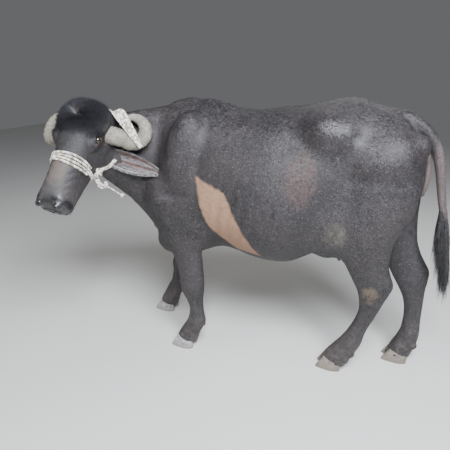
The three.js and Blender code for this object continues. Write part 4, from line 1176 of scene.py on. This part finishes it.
def tufts(name, roots, normals, lie, length, width, lift, chart, seed, blades=BLADES, joints=2, spread=0.28):
    """Flat tapered blades in tufts: each root's blades leave it together and fan out a little."""
    picker = np.random.default_rng(seed)
    count = len(roots)
    length = np.broadcast_to(length, count)
    lift = np.broadcast_to(lift, count)
    lie = lie - normals * np.sum(lie * normals, axis=1)[:, None]
    lie /= np.maximum(np.linalg.norm(lie, axis=1), 1e-6)[:, None]
    side = np.cross(normals, lie)
    levels = np.linspace(0, 1, joints + 1)
    points, charts = [], []
    for _ in range(blades):
        fan = picker.normal(0, spread, count)[:, None]
        way = lie * np.cos(fan) + side * np.sin(fan)
        across = side * np.cos(fan) - lie * np.sin(fan)
        reach = (length * picker.uniform(0.65, 1.15, count))[:, None]
        rise = (lift * picker.uniform(0.6, 1.4, count))[:, None]
        start = roots + side * picker.normal(0, width * 1.2, count)[:, None] - normals * 0.0008
        for level in levels:
            bend = reach * (level * way + (rise * (1 - 0.35 * level) * level) * normals)
            half = width * 0.5 * (1 - level**1.5)
            for sign in (-1, 1) if level < 1 else (0,):
                points.append(start + bend + across * half * sign)
                charts.append(chart + np.array([sign * 0.0012, (level - 0.5) * 0.0026]))
    stride = 2 * joints + 1
    quads, tips = [], []
    for blade in range(blades):
        base = blade * stride
        for low in range(base, base + 2 * joints - 2, 2):
            quads.append((low, low + 1, low + 3, low + 2))
        tips.append((base + 2 * joints - 2, base + 2 * joints - 1, base + 2 * joints))
    points = np.stack(points, axis=1).reshape(-1, 3)
    charts = np.stack(charts, axis=1).reshape(-1, 2)
    offsets = np.arange(count) * stride * blades
    loops = [(offsets[:, None, None] + np.array(rows)[None]).reshape(-1, np.array(rows).shape[1])
             for rows in (quads, tips) if rows]
    mesh = bpy.data.meshes.new(name)
    mesh.vertices.add(len(points))
    mesh.vertices.foreach_set("co", points.reshape(-1))
    corners = np.concatenate([rows.reshape(-1) for rows in loops])
    sizes = np.concatenate([np.full(len(rows), rows.shape[1]) for rows in loops])
    mesh.loops.add(len(corners))
    mesh.loops.foreach_set("vertex_index", corners)
    mesh.polygons.add(len(sizes))
    mesh.polygons.foreach_set("loop_start", np.concatenate([[0], np.cumsum(sizes)[:-1]]))
    mesh.uv_layers.new(name="OFBake")
    mesh.uv_layers["OFBake"].data.foreach_set("uv", charts[corners].reshape(-1))
    mesh.update(calc_edges=True)
    mesh.validate()
    thing = bpy.data.objects.new(name, mesh)
    scene.collection.objects.link(thing)
    print(name, "tufts", count, "triangles", int((sizes - 2).sum()))
    return thing


# %% Where the hair grows, how long it is and how it lies
WHORL = np.array([70.0, 30.0, 0.0])


def eye_distance(local):
    left, right = (np.array(EYE["at"]) * (1, 1, side) for side in (1, -1))
    return np.minimum(np.linalg.norm(local - left, axis=1), np.linalg.norm(local - right, axis=1))


def is_head(p):
    a, n, s = to_head(p).T
    return (a > -48) & (np.abs(s) < 165) & (n > -275) & (p[:, 0] < -690) & (p[:, 1] < -230)


def wool(p):
    """1 on the poll and forehead, where the hair is long and woolly, falling to 0 down the face."""
    a, n, s = to_head(p).T
    return np.clip((175 - a) / 90, 0, 1) * np.clip((n + 80) / 60, 0, 1) * is_head(p)


def body_lie(p):
    x, y, z = p.T
    legs = np.clip((700 - z) / 150, 0, 1)
    return np.stack([0.85 - 0.6 * legs, -0.1 * np.sign(y), -0.35 - 0.8 * legs], axis=1)


def head_lie(p):
    local = to_head(p)
    out = local - WHORL
    way = out / np.maximum(np.linalg.norm(out, axis=1), 1)[:, None] + np.array([0.25, -0.1, 0.0])
    return way @ HEAD_AXES


# Where the hide is drawn over bone and rubbed: hook, pin and the top of the thigh, each with its radii.
TAUT = (
    ((320, -230, 1225), (170, 200, 110)), ((640, -110, 1165), (110, 150, 110)),
    ((540, -240, 1090), (150, 150, 70)),
)


def body_keep(p):
    clear = (p[:, 2] > 70) & ~is_head(p)
    udder = (np.hypot(p[:, 0] - 415, p[:, 1]) < 120) & (p[:, 2] < 690)
    rubbed = np.zeros(len(p))
    for at, radii in TAUT:
        rubbed = np.maximum(rubbed, bell(p, at, radii))
    return clear * (1 - 0.85 * udder) * (1 - 0.7 * rubbed)


def head_keep(p):
    local = to_head(p)
    bare = ((local[:, 0] > 468) & (local[:, 1] > -112)) | (eye_distance(local) < 30)
    return is_head(p) * ~bare * (0.45 + 0.55 * wool(p))


coats = {}
body_roots, body_normals = scatter(skin, 92000, body_keep, 21)
body_places = (body_roots - CENTRE) / MM
feet = np.clip((330 - body_places[:, 2]) / 150, 0, 1)
body_length = (0.015 + 0.006 * (body_places[:, 2] > 1230)) * (1 - 0.5 * feet)
quarter = np.digitize(body_places[:, 0], (-330, 60, 430))
for part in range(4):
    row = quarter == part
    places = body_places[row]
    coats[f"body_{part}"] = tufts(
        f"coat_body_{part}", body_roots[row], body_normals[row], body_lie(places), body_length[row],
        0.0012, 0.22, skin_chart(places), 31 + part, blades=2)
head_roots, head_normals = scatter(skin, 640000, head_keep, 22)
head_places = (head_roots - CENTRE) / MM
shag = wool(head_places)
for label, row in (("wool", shag > 0.25), ("face", shag <= 0.25)):
    places = head_places[row]
    coats[label] = tufts(
        f"coat_{label}", head_roots[row], head_normals[row], head_lie(places), 0.0055 + 0.026 * shag[row],
        0.0012, 0.25 + 0.75 * shag[row], skin_chart(places), 41)
CHIN_AT, CHIN_REACH = (440, -175, 0), (70, 26, 62)


def chin_keep(p):
    return 0.7 * ((np.abs(to_head(p) - CHIN_AT) < CHIN_REACH).all(axis=1))


chin_roots, chin_normals = scatter(skin, 420000, chin_keep, 23)
chin_places = (chin_roots - CENTRE) / MM
coats["chin"] = tufts(
    "coat_chin", chin_roots, chin_normals, head_lie(chin_places) + HEAD_AXES[0], 0.017, 0.0009, 0.6,
    skin_chart(chin_places), 42)

# %% Ear fringes
EAR_TUFTS = 1500


def ear_fringe(label, side, seed):
    """Long pale hair along both edges and in rows inside the cup, lying towards the tip."""
    picker = np.random.default_rng(seed)
    along, low, opening = ear_frame(side)
    t = picker.uniform(0.02, 0.93, EAR_TUFTS)
    rows = np.array([-0.97, 0.97, 0.97, -0.3, 0.55, 0.75])
    u = np.clip(rows[picker.integers(0, 6, EAR_TUFTS)] + picker.normal(0, 0.05, EAR_TUFTS), -0.99, 0.99)
    local = np.array([ear_point(side, ti, ui, True) for ti, ui in zip(t, u)])
    edge = np.abs(u) > 0.8
    flow = along + low * (0.55 * np.sign(u) * edge)[:, None]
    turn = (1, 1, side)
    roots = in_model(from_head(local * turn))
    normals = np.repeat([(opening * turn) @ HEAD_AXES], EAR_TUFTS, axis=0)
    chart = np.stack([0.1 + 0.8 * (u + 1) / 2, 0.05 + 0.9 * t], axis=1)
    reach = np.where(edge, 0.016, 0.024) * (1 - 0.5 * t)
    lie = (flow * turn) @ HEAD_AXES
    return tufts(f"ear_hair_{label}", roots, normals, lie, reach, 0.0011, 0.3, chart, seed, joints=3)


fringes = {label: ear_fringe(label, side, 50 + side) for label, side in (("left", 1), ("right", -1))}

# %% Switch of the tail
SWITCH_HAIRS = 1300


def switch_hair():
    """Long black hair round the end of the tail bone, hanging and drawing together below it."""
    picker = np.random.default_rng(61)
    f = picker.uniform(0.72, 1.0, SWITCH_HAIRS) * (len(TAIL) - 1)
    x, z, half = (np.interp(f, np.arange(len(TAIL)), TAIL[:, c]) for c in range(3))
    turn = picker.uniform(0, 2 * math.pi, SWITCH_HAIRS)
    out = np.stack([np.cos(turn), np.sin(turn), np.zeros(SWITCH_HAIRS)], axis=1)
    roots = in_model(np.stack([x, np.zeros(SWITCH_HAIRS), z], axis=1) + out * (half - 3)[:, None])
    fall = np.array([0.07, 0, -1.0]) + out * picker.uniform(-0.03, 0.03, SWITCH_HAIRS)[:, None]
    reach = np.minimum(picker.uniform(0.13, 0.25, SWITCH_HAIRS), (z - 412) * MM)
    chart = np.stack([0.1 + 0.8 * turn / (2 * math.pi), (z - 400) / 500], axis=1)
    return tufts("tail_switch_hair", roots, out, fall, reach, 0.0030, 0.05, chart, 62, joints=5, spread=0.06)


switch = switch_hair()

# %% [markdown]
# ## Finishes of the animal
# The hide is nearly black with a sparse coat of short hair, so what shows is the bump of the hair and of
# the skin below it, and a soft gloss. One function gives the markings to skin and coat alike, with a
# painted pool of sunlight, a painted highlight on the nose and a painted sheen on the brow, each by a
# smooth mask at a named place in the tables' own frame.

# %% Markings and painted light
# A pool of sunlight painted on the near flank as a pale tan patch.
SUNLIT_PATCH_CORNERS = ((-306, 994), (-154, 944), (2, 640), (-104, 648), (-240, 772), (-284, 882))  # x and z of its corners


def spot(finish, at, radii):
    return finish.near(tuple(in_model(at)), tuple(np.array(radii) * MM))


def inside_sunlit_patch(finish, wobble):
    """1 within a pool of sunlight painted on the left flank: the least distance to its sides, read in x and
    z.
    """
    centre = np.mean(SUNLIT_PATCH_CORNERS, axis=0)
    nearest = None
    for (x0, z0), (x1, z1) in zip(SUNLIT_PATCH_CORNERS, SUNLIT_PATCH_CORNERS[1:] + SUNLIT_PATCH_CORNERS[:1]):
        way = unit(np.array([z0 - z1, x1 - x0], float))
        if (centre - (x0, z0)) @ way < 0:
            way = -way
        start = in_model((x0, 0, z0))
        distance = (finish.x - start[0]) * way[0] + (finish.z - start[2]) * way[1]
        nearest = distance if nearest is None else nearest.minimum(distance)
    return (nearest + wobble * 0.025).step(-0.016, 0.002) * (1.0 - finish.y.step(0.02, 0.06))


def head_line(finish, axis):
    """A coordinate of the head's frame, in metres, as an expression."""
    places = (finish.x, finish.y, finish.z)
    x, y, z = ((place - o) * w for place, o, w in zip(places, in_model(HEAD_AT), HEAD_AXES[axis]))
    return x + y + z


# place, reach along x, y and z, share of the mottle's steps, strength and colour
STAINS = {
    "dirt": ((368, -200, 790), (80, 160, 75), (0.3, 0.8), 0.6, (0.13, 0.12, 0.09)),
    "hock": ((547, -190, 481), (50, 80, 60), (0.35, 0.6), 0.7, (0.12, 0.085, 0.055)),
}
BARE = {
    "udder": ((415, 0, 610), (150, 130, 90), 0.8, (0.15, 0.095, 0.075)),
    "vulva": ((735, 0, 1040), (45, 50, 130), 0.75, (0.17, 0.125, 0.115)),
}
# metres in the model's frame, each from where a mask starts to where it is whole
HEAD_FRONT, HEAD_LEFT = (-0.62, -0.56), (-0.02, 0.04)
TAIL_BEHIND, TAIL_ABOVE = (0.881, 0.916), (0.80, 0.90)
FOOT_DUST = (0.04, 0.34)
# metres in the head's frame: along from poll to nose, and up
MUZZLE_ALONG, NOSE_ALONG, NOSE_UP = (0.30, 0.44), (0.452, 0.486), (-0.122, -0.104)
# Where the painted highlight along the top of the nose lies.
BRIDGE_START, BRIDGE_END, BRIDGE_UP = (0.27, 0.33), (0.38, 0.45), (-0.03, 0.0)
BROW_END, BROW_UP = (0.08, 0.26), (-0.11, -0.03)
WHORL_COLOUR_AT, WHORL_REACH = (70, 30, -5), (26, 26, 60)


def markings_and_painted_light(finish, mottle, patches):
    """The animal's colours by region, with painted sunlight, a painted highlight and a painted blue sheen.
    """
    tone = finish.mix(patches.step(0.35, 0.7), (0.014, 0.0125, 0.0145), (0.029, 0.0245, 0.0255))
    tone = finish.mix(mottle.step(0.45, 0.75) * 0.55, tone, (0.046, 0.039, 0.040))
    near_flush = spot(finish, (210, -300, 1040), (85, 200, 150))
    ruddy = near_flush.maximum(spot(finish, (150, 300, 950), (300, 200, 300)) * 0.6)
    tone = finish.mix(ruddy * mottle.step(0.3, 0.7) * 0.6, tone, (0.088, 0.046, 0.038))
    # Painted sunlight: a pale tan pool of light on the near flank, mixed into the colour.
    sunlit_patch = inside_sunlit_patch(finish, mottle - 0.5)
    tone = finish.mix(sunlit_patch * (0.75 + 0.35 * mottle), tone, (0.34, 0.20, 0.125))
    for at, radii, steps, strength, colour in STAINS.values():
        tone = finish.mix(spot(finish, at, radii) * mottle.step(*steps) * strength, tone, colour)
    low = (1.0 - finish.z.step(*FOOT_DUST)) * mottle.step(0.4, 0.7)
    tone = finish.mix(low * 0.5, tone, (0.12, 0.098, 0.078))
    for at, radii, strength, colour in BARE.values():
        tone = finish.mix(spot(finish, at, radii) * strength, tone, colour)
    tail = finish.x.step(*TAIL_BEHIND) * finish.z.step(*TAIL_ABOVE)
    tone = finish.mix(tail * 0.45, tone, (0.17, 0.125, 0.12))
    a, n = head_line(finish, 0), head_line(finish, 1)
    on_head = (1.0 - finish.x.step(*HEAD_FRONT)) * (1.0 - finish.y.step(*HEAD_LEFT))
    tone = finish.mix(on_head * 0.5, tone, (0.013, 0.0125, 0.014))
    muzzle = a.step(*MUZZLE_ALONG) * on_head
    tone = finish.mix(muzzle * (0.35 + 0.3 * mottle), tone, (0.075, 0.066, 0.066))
    # Painted highlight: the top of the nose's bridge is made lighter where light falls on it.
    bridge_highlight = a.step(*BRIDGE_START) * (1.0 - a.step(*BRIDGE_END)) * n.step(*BRIDGE_UP) * on_head
    tone = finish.mix(bridge_highlight * 0.5, tone, (0.19, 0.155, 0.13))
    nose = (a + (mottle - 0.5) * 0.03).step(*NOSE_ALONG) * n.step(*NOSE_UP) * on_head
    tone = finish.mix(nose, tone, (0.010, 0.010, 0.012))
    # The woolly brow is dark hair, and its blue tint is a painted sheen of sky light.
    brow_and_blue_sheen = (1.0 - (a + (mottle - 0.5) * 0.12).step(*BROW_END)) * n.step(*BROW_UP) * on_head
    tone = finish.mix(brow_and_blue_sheen * 0.6, tone, (0.013, 0.015, 0.019))
    whorl = spot(finish, tuple(from_head(WHORL_COLOUR_AT)), WHORL_REACH) * on_head
    tone = finish.mix(whorl * mottle.step(0.35, 0.6) * 0.4, tone, (0.075, 0.048, 0.038))
    return tone, nose, sunlit_patch


# %% Hide
hide = Finish("buffalo_hide")
fine_hair = hide.noise(260, 5, 0.65, (1.0, 1.0, 0.32))
pores = hide.cells(520)
patches = hide.noise(3.2, 5, 0.6)
mottle = hide.noise(34, 6, 0.7)
glint_specks = hide.noise(300, 2, 0.5)
base, nose, sunlit_patch = markings_and_painted_light(hide, mottle, patches)
glints = hide.noise(120, 2, 0.6)
# Painted highlights: pale specks and glints stand for light caught on single hairs.
base = hide.mix(glint_specks.step(0.60, 0.72) * 0.35 * (1.0 - nose), base, (0.24, 0.215, 0.215))
base = hide.mix(glints.step(0.56, 0.70) * 0.30 * (1.0 - nose), base, (0.16, 0.14, 0.145))
EYE_CORNER, EYE_CORNER_REACH = np.array((176, -40, 117)), (9, 9, 9)
pink = None
for side in (1, -1):
    corner = spot(hide, tuple(from_head(EYE_CORNER * (1, 1, side))), EYE_CORNER_REACH)
    pink = corner if pink is None else pink.maximum(corner)
base = hide.mix(pink * 0.8, base, (0.24, 0.09, 0.08))
hide.feed("Base Color", base)
taut = None
for at, radii in TAUT:
    place = spot(hide, at, radii)
    taut = place if taut is None else taut.maximum(place)
# The painted pool of sunlight is also made rougher than the hide round it.
rough = 0.38 + 0.22 * mottle + 0.20 * glints + 0.2 * sunlit_patch - 0.29 * taut
hide.feed("Roughness", rough * (1.0 - 0.5 * nose))
hide.shader.inputs["Specular IOR Level"].default_value = 0.55
hide.feed("Coat Weight", nose * 0.35)
hide.shader.inputs["Coat Roughness"].default_value = 0.12
grain = (fine_hair * 0.7 + mottle * 0.5 + glints * 0.9) * (1.0 - 0.8 * nose)
hide.bump(grain + pores * 0.3, 0.0030, 0.7)

# %% Coat
coat_finish = Finish("buffalo_coat")
coat_base, _, _ = markings_and_painted_light(coat_finish, coat_finish.noise(34, 6, 0.7), coat_finish.noise(3.2, 5, 0.6))
coat_glints = coat_finish.noise(900, 1, 0.5)
# Painted highlights: pale single hairs stand for light glinting on the coat.
coat_tone = coat_finish.mix(coat_glints.step(0.56, 0.66) * 0.36, coat_base, (0.20, 0.185, 0.19))
coat_finish.feed("Base Color", coat_tone)
coat_finish.shader.inputs["Roughness"].default_value = 0.42
coat_finish.shader.inputs["Specular IOR Level"].default_value = 0.25

# %% Ear
ear_finish = Finish("ear_skin")
across, along, within_cup = (
    ear_finish.node("ShaderNodeAttribute", {"attribute_name": name}, output=2)
    for name in ("ear_across", "ear_along", "ear_inside")
)
blotch = ear_finish.noise(40, 5, 0.65)
rows = (across * 6.5 + along * 2.5 + 0.5 * blotch).math("COSINE").step(-0.2, 0.75)
flush = ear_finish.mix(blotch.step(0.3, 0.7), (0.15, 0.095, 0.085), (0.070, 0.047, 0.045))
cup = ear_finish.mix(rows * (0.6 + 0.5 * blotch), flush, (0.28, 0.25, 0.255))
cup = ear_finish.mix(along.step(0.75, 1.0) * 0.7, cup, (0.05, 0.042, 0.044))
back = ear_finish.mix(blotch.step(0.4, 0.7), (0.026, 0.023, 0.026), (0.055, 0.046, 0.046))
ear_finish.feed("Base Color", ear_finish.mix(within_cup, back, cup))
ear_finish.shader.inputs["Roughness"].default_value = 0.5
ear_finish.bump(ear_finish.noise(240, 4, 0.65), 0.0015, 0.5)

# %% Horn, hoof, eye
horn_finish = Finish("horn_grey")
streak = horn_finish.noise(120, 5, 0.7)
cloud = horn_finish.noise(18, 4, 0.6)
tone = horn_finish.mix(cloud.step(0.3, 0.75), (0.27, 0.25, 0.205), (0.155, 0.14, 0.118))
tone = horn_finish.mix(streak.step(0.52, 0.62) * 0.85, tone, (0.075, 0.066, 0.058))
horn_finish.feed("Base Color", tone)
horn_finish.feed("Roughness", 0.55 + 0.25 * cloud)
horn_finish.bump(streak, 0.0016, 0.7)

hoof_finish = Finish("hoof_horn")
grime = hoof_finish.noise(40, 5, 0.65)
dusty = (1.0 - hoof_finish.z.step(0.0, 0.06)) * 0.6
hinder = hoof_finish.x.step(0.2, 0.3)
clean = hoof_finish.mix(hinder, (0.42, 0.42, 0.44), (0.24, 0.21, 0.18))
tone = hoof_finish.mix(grime.step(0.42, 0.75), clean, (0.14, 0.13, 0.125))
tone = hoof_finish.mix(dusty, tone, (0.17, 0.135, 0.105))
hoof_finish.feed("Base Color", tone)
hoof_finish.feed("Roughness", 0.5 + 0.35 * grime)
hoof_finish.bump(hoof_finish.noise(60, 4, 0.6, (0.3, 0.3, 3.0)), 0.0012, 0.6)

eye_finish = Finish("wet_eye")
eye_tone = eye_finish.mix(eye_finish.noise(90), (0.006, 0.004, 0.003), (0.022, 0.012, 0.007))
eye_finish.feed("Base Color", eye_tone)
eye_finish.shader.inputs["Roughness"].default_value = 0.04
eye_finish.shader.inputs["Coat Weight"].default_value = 1.0

hair_finish = Finish("black_hair")
strands = hair_finish.noise(70, 3).step(0.3, 0.7)
hair_tone = hair_finish.mix(strands, (0.012, 0.013, 0.016), (0.040, 0.036, 0.036))
hair_finish.feed("Base Color", hair_tone)
hair_finish.shader.inputs["Roughness"].default_value = 0.5

fringe_finish = Finish("pale_ear_hair")
strands = fringe_finish.noise(120, 3).step(0.35, 0.65)
fringe_tone = fringe_finish.mix(strands, (0.29, 0.28, 0.29), (0.07, 0.06, 0.057))
fringe_finish.feed("Base Color", fringe_tone)
fringe_finish.shader.inputs["Roughness"].default_value = 0.6


def dress(thing, finish, slot, *nodes):
    thing.data.materials.clear()
    thing.data.materials.append(finish.material)
    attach(thing, "root")
    if nodes:
        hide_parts(*nodes)


# %% [markdown]
# ## Dressing the frame
# Each piece rides on the model's one body and stands for the nodes that it covers.

# %% Ride and replace
flesh_nodes = ["torso", "neck", "head", "tail"] + [f"leg_{name}" for name in LEGS]
dress(skin, hide, "hide", *flesh_nodes)
for label in ("left", "right"):
    dress(horns[label], horn_finish, "horn", f"horn_{label}")
    dress(ears[label], ear_finish, "hide", f"ear_{label}")
    dress(fringes[label], fringe_finish, "hair")
    dress(eyes[label], eye_finish, "eye", f"eye_{label}")
    dress(cheeks[label], cotton, "rope", f"halter_cheek_{label}")
for key, claw in hooves.items():
    dress(claw, hoof_finish, "hoof", f"hoof_{key}")
for piece in coats.values():
    dress(piece, coat_finish, "hide")
dress(switch, hair_finish, "hair", "tail_switch")
dress(noseband, cotton, "rope", "halter_noseband")
dress(headpiece, cotton, "rope", "halter_headpiece")
dress(tie, cotton, "rope")
dress(cord_end, cotton, "rope")

# %% Floor
floor_mesh = bpy.data.meshes.new("floor")
floor_mesh.from_pydata([(-9, -9, 0), (9, -9, 0), (9, 9, 0), (-9, 9, 0)], [], [(0, 1, 2, 3)])
floor = bpy.data.objects.new("floor", floor_mesh)
scene.collection.objects.link(floor)
pale = Finish("pale_floor")
pale.feed("Base Color", pale.mix(pale.noise(2.0), (0.60, 0.59, 0.57), (0.64, 0.63, 0.61)))
pale.shader.inputs["Roughness"].default_value = 0.9
floor_mesh.materials.append(pale.material)
